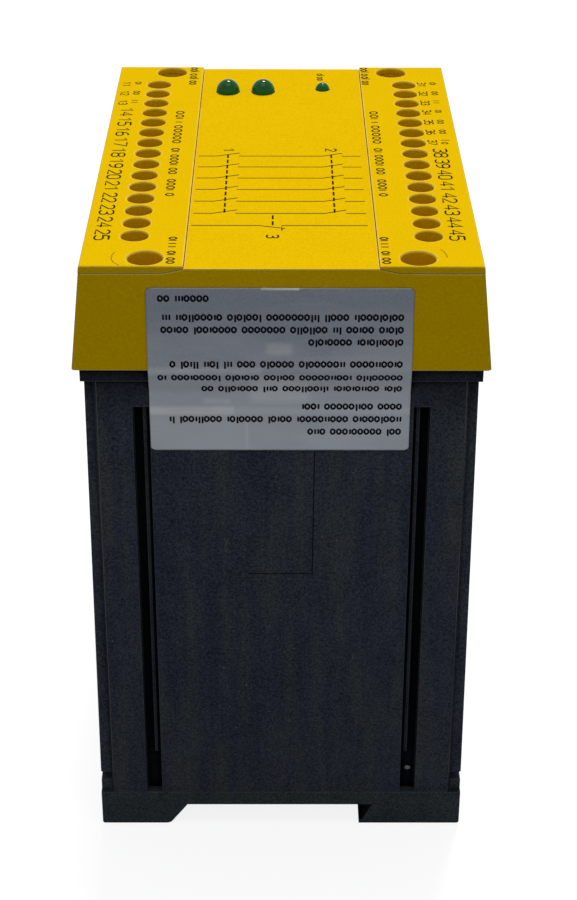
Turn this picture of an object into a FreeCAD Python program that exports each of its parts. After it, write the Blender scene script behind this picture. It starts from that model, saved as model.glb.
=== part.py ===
import FreeCAD, Part
import math
import os
import Sketcher

# A wide safety relay for a 35 mm rail: a black housing on a base with the rail hook and
# latch, a yellow front cap, and two terminal strips that pull off their pins.
# Origin: the middle of the underside. +Z runs from the rail to the front, Y along the
# rail, and +X is up when the relay hangs on its rail. Lengths are in millimetres.

SIZES = {
    # outside
    "length": 110.0,
    "height": 125.0,
    "body_width": 73.2,
    "cap_inset": 0.9,
    "skirt_depth": 20.0,
    "skirt_flare": 2.1,
    "end_draft": 0.8,
    "end_step": 0.7,
    "side_draft": 0.75,
    "fit": 0.1,
    # housing
    "wall": 2.0,
    "band_step": 0.6,
    "band_height": 2.7,
    "rim_step": 1.0,
    "rim_height": 2.8,
    "corner_band": 2.45,
    "corner_step": 0.5,
    "corner_round": 0.4,
    "groove_inset": 12.45,
    "groove_width": 3.05,
    "groove_depth": 1.8,
    "groove_gap": 8.2,
    "groove_rib": 0.6,
    "groove_rib_start": 10.0,
    "guide_width": 6.2,
    "guide_depth": 3.2,
    "guide_slot": 1.4,
    "window_width": 2.3,
    "window_height": 4.8,
    "window_length": 8.0,
    "vent_width": 2.2,
    "vent_height": 18.0,
    "vent_pitch": 5.0,
    "vent_margin": 20.0,
    "vent_drop": 16.0,
    # base
    "base_height": 8.0,
    "rail_width": 35.0,
    "rail_centre": 0.3,
    "rail_depth": 4.8,
    "rail_play": 0.9,
    "hook_reach": 2.7,
    "hook_lip": 0.8,
    "hook_flat": 0.75,
    "foot_gap": 1.9,
    "foot_slope": 3.6,
    "foot_round": 1.5,
    "foot_edge": 0.5,
    "land_height": 0.2,
    "land_gap": 0.5,
    "land_margin": 4.0,
    "collar_height": 3.0,
    "collar_wall": 1.6,
    "rest_height": 2.0,
    "rest_half": 2.0,
    "rest_start": 14.0,
    "rest_length": 12.0,
    "tongue_height": 2.8,
    # rail latch
    "latch_half": 8.8,
    "latch_wing": 3.0,
    "latch_floor": 0.5,
    "latch_shoulder": 2.4,
    "latch_roof": 4.3,
    "latch_play": 0.2,
    "latch_inset": 0.8,
    "latch_bite": 1.4,
    "latch_top": 3.2,
    "pull_slot": 1.8,
    "pull_slot_half": 2.7,
    "window_start": 4.3,
    "spring_length": 7.2,
    "spring_radius": 1.4,
    "wire_radius": 0.25,
    "spring_turns": 5.0,
    "stop_wall": 1.2,
    # front cap
    "panel_drop": 0.5,
    "panel_wall": 1.8,
    "end_wall": 1.6,
    "shelf_wall": 1.6,
    "strip_width": 18.5,
    "strip_height": 15.4,
    "lip_thickness": 1.4,
    "lip_round_width": 3.7,
    "lip_round_drop": 0.8,
    "pin_slot": 2.4,
    "cap_round": 0.8,
    "bead_length": 60.0,
    "bead_rise": 1.4,
    "bead_half": 0.5,
    "bead_depth": 0.4,
    # terminal strips
    "pitch": 6.0,
    "first_way": 13.0,
    "row_shift": 0.75,
    "well_inset": 9.05,
    "well_wall": 1.0,
    "lever_inset": 11.5,
    "lever_margin": 3.8,
    "lever_radius": 3.15,
    "lever_rim": 0.3,
    "well_rim": 0.25,
    "entry_rim": 0.4,
    "edge_round": 0.3,
    "floor_wall": 0.8,
    "chamber_height": 6.8,
    "chamber_half": 3.0,
    "chamber_gap": 1.2,
    "entry_gap": 2.2,
    "entry_height": 3.8,
    "socket_half": 1.5,
    # clamps and screws
    "cage_wall": 0.8,
    "cage_roof": 1.2,
    "cage_play": 0.5,
    "screw_play": 0.3,
    "head_height": 1.8,
    "bar_height": 4.8,
    "bar_thickness": 0.8,
    # boards and pins
    "board_thickness": 1.6,
    "board_play": 0.15,
    "board_drop": 2.0,
    "pin_width": 0.9,
    "pin_stand": 3.4,
    "pin_reach": 5.2,
    "header_height": 7.0,
    "header_drop": 0.5,
    # lights
    "led_margin": 5.6,
    "led_pitch": 7.6,
    "led_y": 39.8,
    "led_radius": 2.5,
    "led_rise": 2.7,
    "power_margin": 8.3,
    "power_y": 41.3,
    "power_radius": 1.5,
    "power_rise": 1.5,
    "led_rim": 0.45,
    "led_flange": 1.0,
    "led_post": 2.5,
    "peg_length": 2.4,
    "front_board_depth": 6.6,
    "front_board_gap": 2.7,
    "front_board_length": 38.0,
    "front_board_y": 31.0,
    # parts on the boards
    "relay_length": 50.0,
    "relay_height": 30.0,
    "relay_depth": 16.0,
    "relay_margin": 4.5,
    "low_part": 6.0,
    "high_part": 48.0,
    "core_length": 42.0,
    "core_height": 35.0,
    "core_depth": 16.0,
    "core_leg": 14.0,
    "core_yoke": 7.0,
    "coil_depth": 26.0,
    "coil_play": 0.2,
    "can_radius": 6.25,
    "can_pitch": 18.75,
    "relay_round": 1.0,
    "can_height": 20.0,
    "fuse_length": 22.0,
    "fuse_radius": 3.0,
    # foil label
    "label_width": 47.5,
    "label_x": -0.3,
    "label_top": 4.0,
    "label_bottom": 37.1,
    "label_fold": 2.4,
    "label_thickness": 0.15,
    "label_round": 0.8,
    "label_glue": 0.02,
}

doc = FreeCAD.newDocument("SafetyRelay")
sheet = doc.addObject("Spreadsheet::Sheet", "Sizes")
for row, (name, number) in enumerate(SIZES.items(), start=1):
    sheet.set("A%d" % row, name)
    sheet.set("B%d" % row, str(number))
    sheet.setAlias("B%d" % row, name)
doc.recompute()


class Size:
    """A number from the sheet, or a sum made of them, with the expression that binds it."""

    def __init__(self, text, value):
        self.text = text
        self.value = value

    def __add__(self, other):
        return joined(self, "+", other, self.value + size(other).value)

    def __radd__(self, other):
        return size(other) + self

    def __sub__(self, other):
        return joined(self, "-", other, self.value - size(other).value)

    def __rsub__(self, other):
        return size(other) - self

    def __mul__(self, other):
        return joined(self, "*", other, self.value * size(other).value)

    def __rmul__(self, other):
        return size(other) * self

    def __truediv__(self, other):
        return joined(self, "/", other, self.value / size(other).value)

    def __neg__(self):
        return size(0) - self


def size(item):
    """The item as a Size, also when it is a plain number."""
    if isinstance(item, Size):
        return item
    return Size("%s" % float(item), float(item))


def close(first, second):
    """Whether two lengths are the same."""
    return abs(size(first).value - size(second).value) < 0.01


def joined(left, sign, right, value):
    return Size("(%s %s %s)" % (left.text, sign, size(right).text), value)


def whole(item):
    """The whole number that the item reaches."""
    return Size("floor(%s + 0.001)" % item.text, float(math.floor(item.value + 0.001)))


def read(name):
    """The sheet's size of that name."""
    return Size("Sizes.%s" % name, float(sheet.get(name)))


def bind(thing, prop, item):
    """Ties one property of an object to the sheet."""
    thing.setExpression(prop, size(item).text)


def origin(body, role):
    """One of the body's own origin planes or axes."""
    return next(f for f in body.Origin.OriginFeatures if f.Role == role)


def new_body(name):
    return doc.addObject("PartDesign::Body", name)


def new_sketch(body, name, role, offset):
    """An empty sketch on one of the body's own planes, moved along its normal."""
    sketch = body.newObject("Sketcher::SketchObject", name)
    sketch.AttachmentSupport = [(origin(body, role), "")]
    sketch.MapMode = "FlatFace"
    bind(sketch, "AttachmentOffset.Base.z", offset)
    return sketch


def place_point(sketch, line, end, spot):
    """Binds one point of a sketch to its two distances from the sketch's origin."""
    for kind, item in zip(("DistanceX", "DistanceY"), spot):
        item = size(item)
        number = sketch.addConstraint(Sketcher.Constraint(kind, -1, 1, line, end, item.value))
        bind(sketch, "Constraints[%d]" % number, item)


def outline(body, name, role, offset, corners):
    """A closed sketch of straight lines whose corners follow the sheet."""
    sketch = new_sketch(body, name, role, offset)
    spots = [FreeCAD.Vector(size(u).value, size(v).value, 0) for u, v in corners]
    count = len(spots)
    for i in range(count):
        sketch.addGeometry(Part.LineSegment(spots[i], spots[(i + 1) % count]), False)
    for i in range(count):
        sketch.addConstraint(Sketcher.Constraint("Coincident", i, 2, (i + 1) % count, 1))
    for i in range(count):
        place_point(sketch, i, 1, corners[i])
    return sketch


def disc(body, name, role, offset, centre, radius):
    """A sketch of one circle."""
    sketch = new_sketch(body, name, role, offset)
    spot = FreeCAD.Vector(size(centre[0]).value, size(centre[1]).value, 0)
    sketch.addGeometry(Part.Circle(spot, FreeCAD.Vector(0, 0, 1), size(radius).value), False)
    place_point(sketch, 0, 3, centre)
    number = sketch.addConstraint(Sketcher.Constraint("Radius", 0, size(radius).value))
    bind(sketch, "Constraints[%d]" % number, radius)
    return sketch


def oblong(body, name, role, offset, low, high):
    """A sketch of one rectangle between two opposite corners."""
    corners = [low, (high[0], low[1]), high, (low[0], high[1])]
    return outline(body, name, role, offset, corners)


def feature(body, kind, sketch, length, midplane, reverse):
    """A pad or pocket of a sketch, checked by what it does to the volume."""
    before = body.Shape.Volume if body.Tip else 0.0
    made = body.newObject("PartDesign::%s" % kind, sketch.Name + kind)
    made.Profile = sketch
    made.Midplane = midplane
    made.Reversed = reverse
    bind(made, "Length", length)
    doc.recompute()
    grown = body.Shape.Volume - before
    if (grown > 0) != (kind == "Pad") or abs(grown) < 1e-6:
        raise RuntimeError("%s changes nothing" % made.Name)
    return made


def pad(body, sketch, length, midplane=False, reverse=False):
    return feature(body, "Pad", sketch, length, midplane, reverse)


def pocket(body, sketch, length, midplane=False, reverse=False):
    return feature(body, "Pocket", sketch, length, midplane, reverse)


def block(body, name, low, high):
    """A box-shaped pad between two opposite corners."""
    sketch = oblong(body, name, "XY_Plane", low[2], low[:2], high[:2])
    return pad(body, sketch, high[2] - low[2])


def hollow(body, name, low, high):
    """A box-shaped pocket between two opposite corners."""
    sketch = oblong(body, name, "XY_Plane", low[2], low[:2], high[:2])
    return pocket(body, sketch, high[2] - low[2], reverse=True)


def loft_between(body, name, lower, upper):
    """A drafted block, from (height, half width, half length) below and above."""
    sections = []
    for tag, (level, half_x, half_y) in (("lower", lower), ("upper", upper)):
        corners = (-half_x, -half_y), (half_x, half_y)
        sections.append(oblong(body, "%s_%s" % (name, tag), "XY_Plane", level, *corners))
    loft = body.newObject("PartDesign::AdditiveLoft", name + "_loft")
    loft.Profile = sections[0]
    loft.Sections = [sections[1]]
    loft.Ruled = True
    doc.recompute()
    return loft


def drill(body, name, centre, radius, low, high):
    """A round pocket along Z."""
    sketch = disc(body, name, "XY_Plane", low, centre, radius)
    return pocket(body, sketch, high - low, reverse=True)


def post(body, name, centre, radius, low, high):
    """A round pad along Z."""
    return pad(body, disc(body, name, "XY_Plane", low, centre, radius), high - low)


def repeat(body, originals, length, count):
    """Repeats features along Y."""
    pattern = body.newObject("PartDesign::LinearPattern", originals[0].Name + "Row")
    pattern.Originals = originals
    pattern.Direction = (origin(body, "Y_Axis"), [""])
    bind(pattern, "Length", length)
    bind(pattern, "Occurrences", count)
    body.Tip = pattern
    doc.recompute()
    return pattern


def many_sided(body, name, offset, centre, radius, sides):
    """A sketch of an even polygon, for small round shapes that repeat."""
    corners = []
    for i in range(sides):
        turn = 2 * math.pi * (i + 0.5) / sides
        corners.append((centre[0] + radius * math.cos(turn), centre[1] + radius * math.sin(turn)))
    return outline(body, name, "XY_Plane", offset, corners)


def soften(body, kind, amount, chosen):
    """Fillets or chamfers the edges whose middle the test picks."""
    base = body.Tip
    names = []
    for number, edge in enumerate(base.Shape.Edges, start=1):
        if chosen(edge.CenterOfMass, edge):
            names.append("Edge%d" % number)
    dress = body.newObject("PartDesign::%s" % kind, "%s%s" % (body.Name, kind))
    dress.Base = (base, names)
    bind(dress, "Radius" if kind == "Fillet" else "Size", amount)
    doc.recompute()
    return dress


def turned(body, name, x, y, points):
    """A solid of revolution about a line along Z, from (radius, height) points."""
    corners = [(x + radius, height) for radius, height in points]
    sketch = outline(body, name, "XZ_Plane", -size(y), corners)
    made = body.newObject("PartDesign::Revolution", name + "Turned")
    made.Profile = sketch
    foot = FreeCAD.Vector(size(x).value, 0, 0)
    head = FreeCAD.Vector(size(x).value, height.value, 0)
    axis = sketch.addGeometry(Part.LineSegment(foot, head), True)
    place_point(sketch, axis, 1, (x, 0))
    place_point(sketch, axis, 2, (x, height))
    made.ReferenceAxis = (sketch, ["Axis0"])
    made.Angle = 360
    doc.recompute()
    return made


length = read("length")
height = read("height")
fit = read("fit")
wall = read("wall")
pitch = read("pitch")

body_half = read("body_width") / 2
body_end = length / 2 - read("end_step")
cap_half = body_half - read("cap_inset")
cap_end = length / 2
skirt_z = height - read("skirt_depth")
skirt_half = cap_half + read("skirt_flare")
skirt_end = cap_end + read("end_draft")
base_z = read("base_height")
rail_z = read("rail_depth")
band_z = skirt_z - read("band_height")
rim_z = skirt_z + read("rim_height")
panel_half = cap_half - read("strip_width")
panel_z = height - read("panel_drop")
panel_under = panel_z - read("panel_wall")
shelf_z = height - read("strip_height")
shelf_under = shelf_z - read("shelf_wall")
lip_z = height - read("lip_thickness")
groove_in = body_half - read("groove_inset")
groove_out = groove_in + read("groove_width")
groove_top = skirt_z - read("groove_gap")
board_mid = groove_in + read("groove_width") / 2
board_in = board_mid - read("board_thickness") / 2
board_out = board_mid + read("board_thickness") / 2
board_z = base_z + read("rest_height")
board_top = shelf_under - read("board_drop")
guide_end = body_end - wall - read("guide_depth")
board_end = guide_end + read("guide_slot") - read("board_play")
pin_x = board_in - read("pin_stand")
ways = whole((length - read("first_way") * 2) / pitch) + 1
row_length = (ways - 1) * pitch
first_y = read("row_shift") - row_length / 2
well_x = cap_half - read("well_inset")
lever_x = cap_half - read("lever_inset")
lever_y = length / 2 - read("lever_margin")
chamber_z = shelf_z + read("floor_wall")
chamber_top = chamber_z + read("chamber_height")
bar_z = shelf_z + read("bar_height")
bar_top = bar_z + read("bar_thickness")
well_radius = (pitch - read("well_wall")) / 2
cage_half = (pitch - read("chamber_gap")) / 2 - fit
cage_inner = cage_half - read("cage_wall")
shank_radius = cage_inner - fit / 2
slot_left = read("rail_centre") - read("rail_width") / 2 - read("foot_gap")
hook_root = read("rail_centre") + read("rail_width") / 2 + read("rail_play")
hook_tip = hook_root - read("hook_reach")
latch_tip = slot_left + read("foot_gap") + read("latch_bite")
bead_z = skirt_z + read("bead_rise")
front_board_z = panel_z - read("front_board_depth")


def side_x(side, low, high):
    """Two X values given for the +X side, in rising order on the side asked for."""
    if side > 0:
        return low, high
    return -high, -low


def side_outer(z):
    """The slanted outside of the cap and strips, on the +X side."""
    return cap_half + read("skirt_flare") * (height - z) / read("skirt_depth")


def end_outer(z):
    """The slanted outside of the cap's far end."""
    return cap_end + read("end_draft") * (height - z) / read("skirt_depth")


def build_base_plate():
    """Closes the housing, and carries the feet, the fixed rail hook and the latch's slide."""
    body = new_body("base_plate")
    lip = read("hook_lip")
    section = [
        (-body_half, 0),
        (slot_left - read("foot_slope"), 0),
        (slot_left, rail_z),
        (hook_root, rail_z),
        (hook_tip + read("hook_flat"), lip),
        (hook_tip, lip),
        (hook_tip, 0),
        (body_half, 0),
        (body_half, base_z),
        (-body_half, base_z),
    ]
    pad(body, outline(body, "section", "XZ_Plane", 0, section), body_end * 2, midplane=True)
    inner = slot_left - read("foot_slope")
    soften(
        body, "Fillet", read("foot_round"),
        lambda spot, edge: close(spot.z, 0) and close(spot.x, inner),
    )
    soften(
        body, "Fillet", read("foot_edge"),
        lambda spot, edge: close(spot.z, 0) and close(abs(spot.x), body_half),
    )
    land_y = body_end - read("land_margin")
    block(
        body, "rail_land",
        (latch_tip + read("land_gap"), -land_y, rail_z - read("land_height")),
        (hook_tip - read("land_gap"), land_y, rail_z + fit),
    )
    build_latch_slide(body)
    build_collar(body)
    build_board_rests(body)
    build_snap_tongues(body)
    return body


def build_latch_slide(body):
    """The T-shaped slide in the left foot, with the wall that the spring pushes against."""
    play = read("latch_play")
    half = read("latch_half") + play
    wing = half + read("latch_wing")
    shoulder = read("latch_shoulder") - play
    roof = read("latch_roof") + play
    hollow(body, "slide_mouth", (-body_half, -half, 0), (slot_left, half, shoulder))
    hollow(body, "slide_wings", (-body_half, -wing, shoulder), (slot_left, wing, roof))
    stop = -body_half + read("latch_inset") + read("window_start")
    stop_end = stop + read("stop_wall")
    reach = read("spring_radius") + play
    block(
        body, "spring_stop",
        (stop, -reach, read("latch_floor") + play), (stop_end, reach, roof),
    )


def build_collar(body):
    """The upright rim that enters the housing, open where the housing's board guides stand."""
    outer_x = body_half - wall - fit
    outer_y = body_end - wall - fit
    thick = read("collar_wall")
    top = base_z + read("collar_height")
    block(body, "collar", (-outer_x, -outer_y, base_z), (outer_x, outer_y, top))
    hollow(
        body, "collar_inside",
        (-outer_x + thick, -outer_y + thick, base_z), (outer_x - thick, outer_y - thick, top),
    )
    guide_half = read("guide_width") / 2 + fit * 2
    for side, end in ((1, 1), (1, -1), (-1, 1), (-1, -1)):
        low, high = side_x(side, board_mid - guide_half, board_mid + guide_half)
        start, stop = side_x(end, outer_y - thick, outer_y)
        name = "collar_gap_%s%s" % ("left" if side < 0 else "right", "near" if end < 0 else "far")
        hollow(body, name, (low, start, base_z), (high, stop, top))


def build_board_rests(body):
    """Two bars under each upright board."""
    for side in (-1, 1):
        low, high = side_x(side, board_mid - read("rest_half"), board_mid + read("rest_half"))
        for end in (-1, 1):
            rest_start = read("rest_start")
            start, stop = side_x(end, rest_start, rest_start + read("rest_length"))
            name = "rest_%s%s" % ("left" if side < 0 else "right", "near" if end < 0 else "far")
            block(body, name, (low, start, base_z), (high, stop, board_z))


def build_snap_tongues(body):
    """Four noses that snap into the corner windows of the housing."""
    for side in (-1, 1):
        low, high = side_x(side, body_half - read("window_width") + fit, body_half - fit)
        for end in (-1, 1):
            inner = body_end - read("window_length") + fit
            outer = body_end - read("corner_step") - fit
            start, stop = side_x(end, inner, outer)
            name = "snap_%s%s" % ("left" if side < 0 else "right", "near" if end < 0 else "far")
            top = base_z + read("tongue_height")
            block(body, name, (low, start, base_z), (high, stop, top))


def build_housing():
    """The black tub: open below and above, with board guides, end grooves and side vents."""
    body = new_body("housing_body")
    step = read("band_step")
    inset = read("rim_step")
    top_half = body_half - read("side_draft")
    loft_between(
        body, "tub",
        (base_z, body_half, body_end), (band_z, top_half, body_end),
    )
    block(
        body, "band",
        (-top_half - step, -body_end - step, band_z), (top_half + step, body_end + step, skirt_z),
    )
    block(
        body, "rim",
        (-body_half + inset, -body_end + inset, skirt_z),
        (body_half - inset, body_end - inset, rim_z),
    )
    hollow(
        body, "inside",
        (-body_half + wall, -body_end + wall, base_z), (body_half - wall, body_end - wall, rim_z),
    )
    for side, end in ((1, 1), (1, -1), (-1, 1), (-1, -1)):
        build_housing_corner(body, side, end)
    build_vents(body)
    inset = read("rim_step")
    bead = bead_section(body_half - inset, read("bead_depth"), read("bead_half") + fit)
    run = read("bead_length") + fit * 2
    for side in (-1, 1):
        tag = "left" if side < 0 else "right"
        section = [(side * x, z) for x, z in bead]
        pocket(body, outline(body, "bead_groove_" + tag, "XZ_Plane", 0, section), run, midplane=True)
    soften(body, "Fillet", read("corner_round"), upright_corner)
    return body


def bead_section(face, depth, half):
    """The tapered bead that holds the cap on the housing's rim, or the groove it snaps into."""
    return [
        (face + fit, bead_z - half),
        (face - depth, bead_z - half / 2),
        (face - depth, bead_z + half / 2),
        (face + fit, bead_z + half),
    ]


def upright_corner(spot, edge):
    """Whether an edge of the housing is one of its long outer corners."""
    if edge.Length < groove_top.value / 2:
        return False
    outer = abs(spot.x) > (body_half - read("side_draft")).value
    step_x = body_half - read("corner_band")
    stepped = close(abs(spot.x), step_x) and close(abs(spot.y), body_end)
    return stepped or outer and close(abs(spot.y), body_end - read("corner_step"))


def build_housing_corner(body, side, end):
    """One quarter's board guide, end groove with its rib, stepped corner and snap window."""
    tag = "%s%s" % ("left" if side < 0 else "right", "near" if end < 0 else "far")
    inner_y = body_end - wall
    guide_half = read("guide_width") / 2
    low, high = side_x(side, board_mid - guide_half, board_mid + guide_half)
    start, stop = side_x(end, guide_end, inner_y)
    block(body, "guide_" + tag, (low, start, base_z), (high, stop, band_z))
    slot_half = read("board_thickness") / 2 + read("board_play")
    low, high = side_x(side, board_mid - slot_half, board_mid + slot_half)
    start, stop = side_x(end, guide_end, guide_end + read("guide_slot"))
    hollow(body, "slot_" + tag, (low, start, base_z), (high, stop, band_z))
    low, high = side_x(side, groove_in, groove_out)
    start, stop = side_x(end, body_end - read("groove_depth"), body_end)
    hollow(body, "groove_" + tag, (low, start, base_z), (high, stop, groove_top))
    rib_in = groove_in + read("groove_rib")
    low, high = side_x(side, rib_in, rib_in + read("groove_rib"))
    start, stop = side_x(end, body_end - read("groove_depth"), body_end - read("groove_rib"))
    rib_z = base_z + read("groove_rib_start")
    block(body, "groove_rib_" + tag, (low, start, rib_z), (high, stop, groove_top))
    low, high = side_x(side, body_half - read("corner_band"), body_half)
    start, stop = side_x(end, body_end - read("corner_step"), body_end)
    hollow(body, "corner_" + tag, (low, start, base_z), (high, stop, band_z))
    low, high = side_x(side, body_half - read("window_width"), body_half)
    start, stop = side_x(end, body_end - read("window_length"), body_end)
    window_top = base_z + read("window_height")
    hollow(body, "window_" + tag, (low, start, base_z), (high, stop, window_top))


def build_vents(body):
    """A row of slots through both long walls, near their top."""
    top = band_z - read("vent_drop")
    span = (body_end - read("vent_margin")) * 2
    count = whole(span / read("vent_pitch")) + 1
    row = (count - 1) * read("vent_pitch")
    half = read("vent_width") / 2
    low = (-row / 2 - half, top - read("vent_height"))
    high = (-row / 2 + half, top)
    sketch = oblong(body, "vent", "YZ_Plane", 0, low, high)
    cut = pocket(body, sketch, body_half * 2 + fit, midplane=True)
    repeat(body, [cut], row, count)


def build_front_cap():
    """The yellow cap: flared skirt, centre panel, and a stepped channel for each strip."""
    body = new_body("front_cap")
    loft_between(body, "cap", (skirt_z, skirt_half, skirt_end), (height, cap_half, cap_end))
    hollow(body, "panel_level", (-skirt_half, -skirt_end, panel_z), (skirt_half, skirt_end, height))
    inner_x = body_half - read("rim_step") + fit
    inner_y = body_end - read("rim_step") + fit
    hollow(body, "skirt_inside", (-inner_x, -inner_y, skirt_z), (inner_x, inner_y, shelf_under))
    panel_in = panel_half - read("panel_wall")
    panel_end = cap_end - read("end_wall") - read("panel_wall")
    hollow(
        body, "panel_inside",
        (-panel_in, -panel_end, shelf_under), (panel_in, panel_end, panel_under),
    )
    bead = bead_section(inner_x, read("bead_depth"), read("bead_half"))
    for side in (-1, 1):
        build_strip_channel(body, side)
        tag = "left" if side < 0 else "right"
        section = [(side * x, z) for x, z in bead]
        sketch = outline(body, "bead_" + tag, "XZ_Plane", 0, section)
        pad(body, sketch, read("bead_length"), midplane=True)
    build_light_holes(body)
    soften(
        body, "Fillet", read("cap_round"),
        lambda spot, edge: abs(spot.x) > cap_half.value and abs(spot.y) > cap_end.value
        and edge.Length > read("strip_height").value,
    )
    return body


def build_strip_channel(body, side):
    """The seat of one terminal strip, with the slot that its pins come through."""
    tag = "left" if side < 0 else "right"
    end = cap_end - read("end_wall")
    low, high = side_x(side, panel_half, skirt_half)
    hollow(body, "channel_" + tag, (low, -end, shelf_z), (high, end, height))
    lip = [
        (side * panel_half, height),
        (side * skirt_half, height),
        (side * skirt_half, lip_z),
        (side * (panel_half + read("lip_round_width")), lip_z),
        (side * panel_half, lip_z + read("lip_round_drop")),
    ]
    pocket(body, outline(body, "lip_seat_" + tag, "XZ_Plane", 0, lip), skirt_end * 2, midplane=True)
    low, high = side_x(side, pin_x - read("pin_slot") / 2, pin_x + read("pin_slot") / 2)
    near = first_y - read("pin_slot")
    far = first_y + row_length + read("pin_slot")
    hollow(body, "pin_slot_" + tag, (low, near, shelf_under), (high, far, shelf_z))
    for end in (-1, 1):
        name = "lever_relief_%s%s" % (tag, "near" if end < 0 else "far")
        centre = (side * lever_x, end * lever_y)
        drill(body, name, centre, read("lever_radius") + fit, shelf_z, height)


led_x = -panel_half + read("led_margin")
channel = (read("led_y"), read("led_radius"), read("led_rise"))
power = (read("power_y"), read("power_radius"), read("power_rise"))
LIGHTS = {
    "led_channel_one": (led_x, *channel),
    "led_channel_two": (led_x + read("led_pitch"), *channel),
    "led_power": (panel_half - read("power_margin"), *power),
}


def build_light_holes(body):
    """Holes for the three lights, and the two studs that carry their board."""
    for name, (x, y, radius, _) in LIGHTS.items():
        drill(body, name + "_hole", (x, y), radius + fit, panel_under, panel_z)
    peg_z = front_board_z - read("peg_length")
    for name, y in stud_places():
        post(body, name, (0, y), read("led_post"), front_board_z, panel_under)
        post(body, name + "_peg", (0, y), read("led_post") / 2, peg_z, front_board_z)


def stud_places():
    """The studs' names and places along Y."""
    reach = read("front_board_length") / 2 - read("led_post") * 2
    middle = read("front_board_y")
    return (("stud_near", middle - reach), ("stud_far", middle + reach))


def build_front_board():
    """The small board under the panel that the lights stand on."""
    body = new_body("front_board")
    half_x = panel_half - read("front_board_gap")
    half_y = read("front_board_length") / 2
    middle = read("front_board_y")
    under = front_board_z - read("board_thickness")
    low = (-half_x, middle - half_y, under)
    block(body, "plate", low, (half_x, middle + half_y, front_board_z))
    for name, y in stud_places():
        drill(body, name, (0, y), read("led_post") / 2 + fit, under, front_board_z)
    return body


def build_light(name, x, y, radius, rise):
    """One domed light standing on the front board."""
    body = new_body(name)
    flange = radius + read("led_rim")
    flange_top = front_board_z + read("led_flange")
    middle_z = panel_z + rise - radius
    points = [
        (0, front_board_z),
        (flange, front_board_z),
        (flange, flange_top),
        (radius, flange_top),
        (radius, middle_z),
        (0, middle_z),
    ]
    turned(body, "barrel", x, y, points)
    dome = body.newObject("PartDesign::AdditiveSphere", name + "_dome")
    bind(dome, "Radius", radius)
    dome.Angle1 = 0
    bind(dome, "Placement.Base.x", x)
    bind(dome, "Placement.Base.y", y)
    bind(dome, "Placement.Base.z", middle_z)
    doc.recompute()
    return body


def build_strip(side):
    """A terminal strip: screw wells on top, wire entries outside, sockets below."""
    tag = "left" if side < 0 else "right"
    body = new_body(tag + "_strip_housing")
    inner = panel_half + fit
    section = [
        (side * inner, shelf_z),
        (side * side_outer(shelf_z), shelf_z),
        (side * cap_half, height),
        (side * inner, height),
    ]
    body_length = (cap_end - read("end_wall") - fit) * 2
    pad(body, outline(body, "section", "XZ_Plane", 0, section), body_length, midplane=True)
    lip = [
        (side * inner, lip_z + read("lip_round_drop") + fit),
        (side * (panel_half + read("lip_round_width")), lip_z + fit),
        (side * side_outer(lip_z + fit), lip_z + fit),
        (side * cap_half, height),
        (side * inner, height),
    ]
    pad(body, outline(body, "lip", "XZ_Plane", 0, lip), cap_end * 2, midplane=True)
    well = drill(
        body, "well", (side * well_x, first_y), well_radius, chamber_top, height,
    )
    near, far = well_x - read("chamber_half"), well_x + read("chamber_half")
    half_y = (pitch - read("chamber_gap")) / 2
    low, high = side_x(side, near, far)
    chamber = hollow(
        body, "chamber", (low, first_y - half_y, chamber_z), (high, first_y + half_y, chamber_top),
    )
    low, high = side_x(side, far, skirt_half)
    half_y = (pitch - read("entry_gap")) / 2
    entry_top = chamber_z + read("entry_height")
    entry = hollow(
        body, "entry", (low, first_y - half_y, chamber_z), (high, first_y + half_y, entry_top),
    )
    half = read("socket_half")
    low, high = side_x(side, pin_x - half, pin_x + half)
    socket = hollow(
        body, "socket", (low, first_y - half, shelf_z), (high, first_y + half, bar_top + fit),
    )
    low, high = side_x(side, pin_x + half, near)
    half = cage_inner + fit
    slit = hollow(
        body, "slit", (low, first_y - half, bar_z - fit), (high, first_y + half, bar_top + fit),
    )
    repeat(body, [well, chamber, entry, socket, slit], row_length, ways)
    for end in (-1, 1):
        name = "lever_%s" % ("near" if end < 0 else "far")
        centre = (side * lever_x, end * lever_y)
        drill(body, name, centre, read("lever_radius"), shelf_z, height)
    soften_strip(body)
    return body


def soften_strip(body):
    """The strip's rounded outer edges, and the small bevels round its wells and entries."""
    for rim, radius in (("well_rim", well_radius), ("lever_rim", read("lever_radius"))):
        soften(
            body, "Chamfer", read(rim),
            lambda spot, edge: close(spot.z, height)
            and close(edge.Length, radius * 2 * math.pi),
        )
    soften(
        body, "Fillet", read("edge_round"),
        lambda spot, edge: close(spot.z, height) and len(edge.Vertexes) == 2
        and (close(abs(spot.y), cap_end) or close(abs(spot.x), cap_half)),
    )
    entry_z = chamber_z + read("entry_height") / 2
    soften(
        body, "Chamfer", read("entry_rim"),
        lambda spot, edge: abs(spot.x) > (well_x + read("chamber_half")).value + wall.value
        and edge.Length < pitch.value
        and abs(spot.z - entry_z.value) < entry_z.value - chamber_z.value + fit.value
        and abs(spot.x) > side_outer(entry_z).value - entry_z.value + chamber_z.value,
    )


SHANK_SIDES = 8
HEAD_SIDES = 12
WIRE_SIDES = 5


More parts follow.
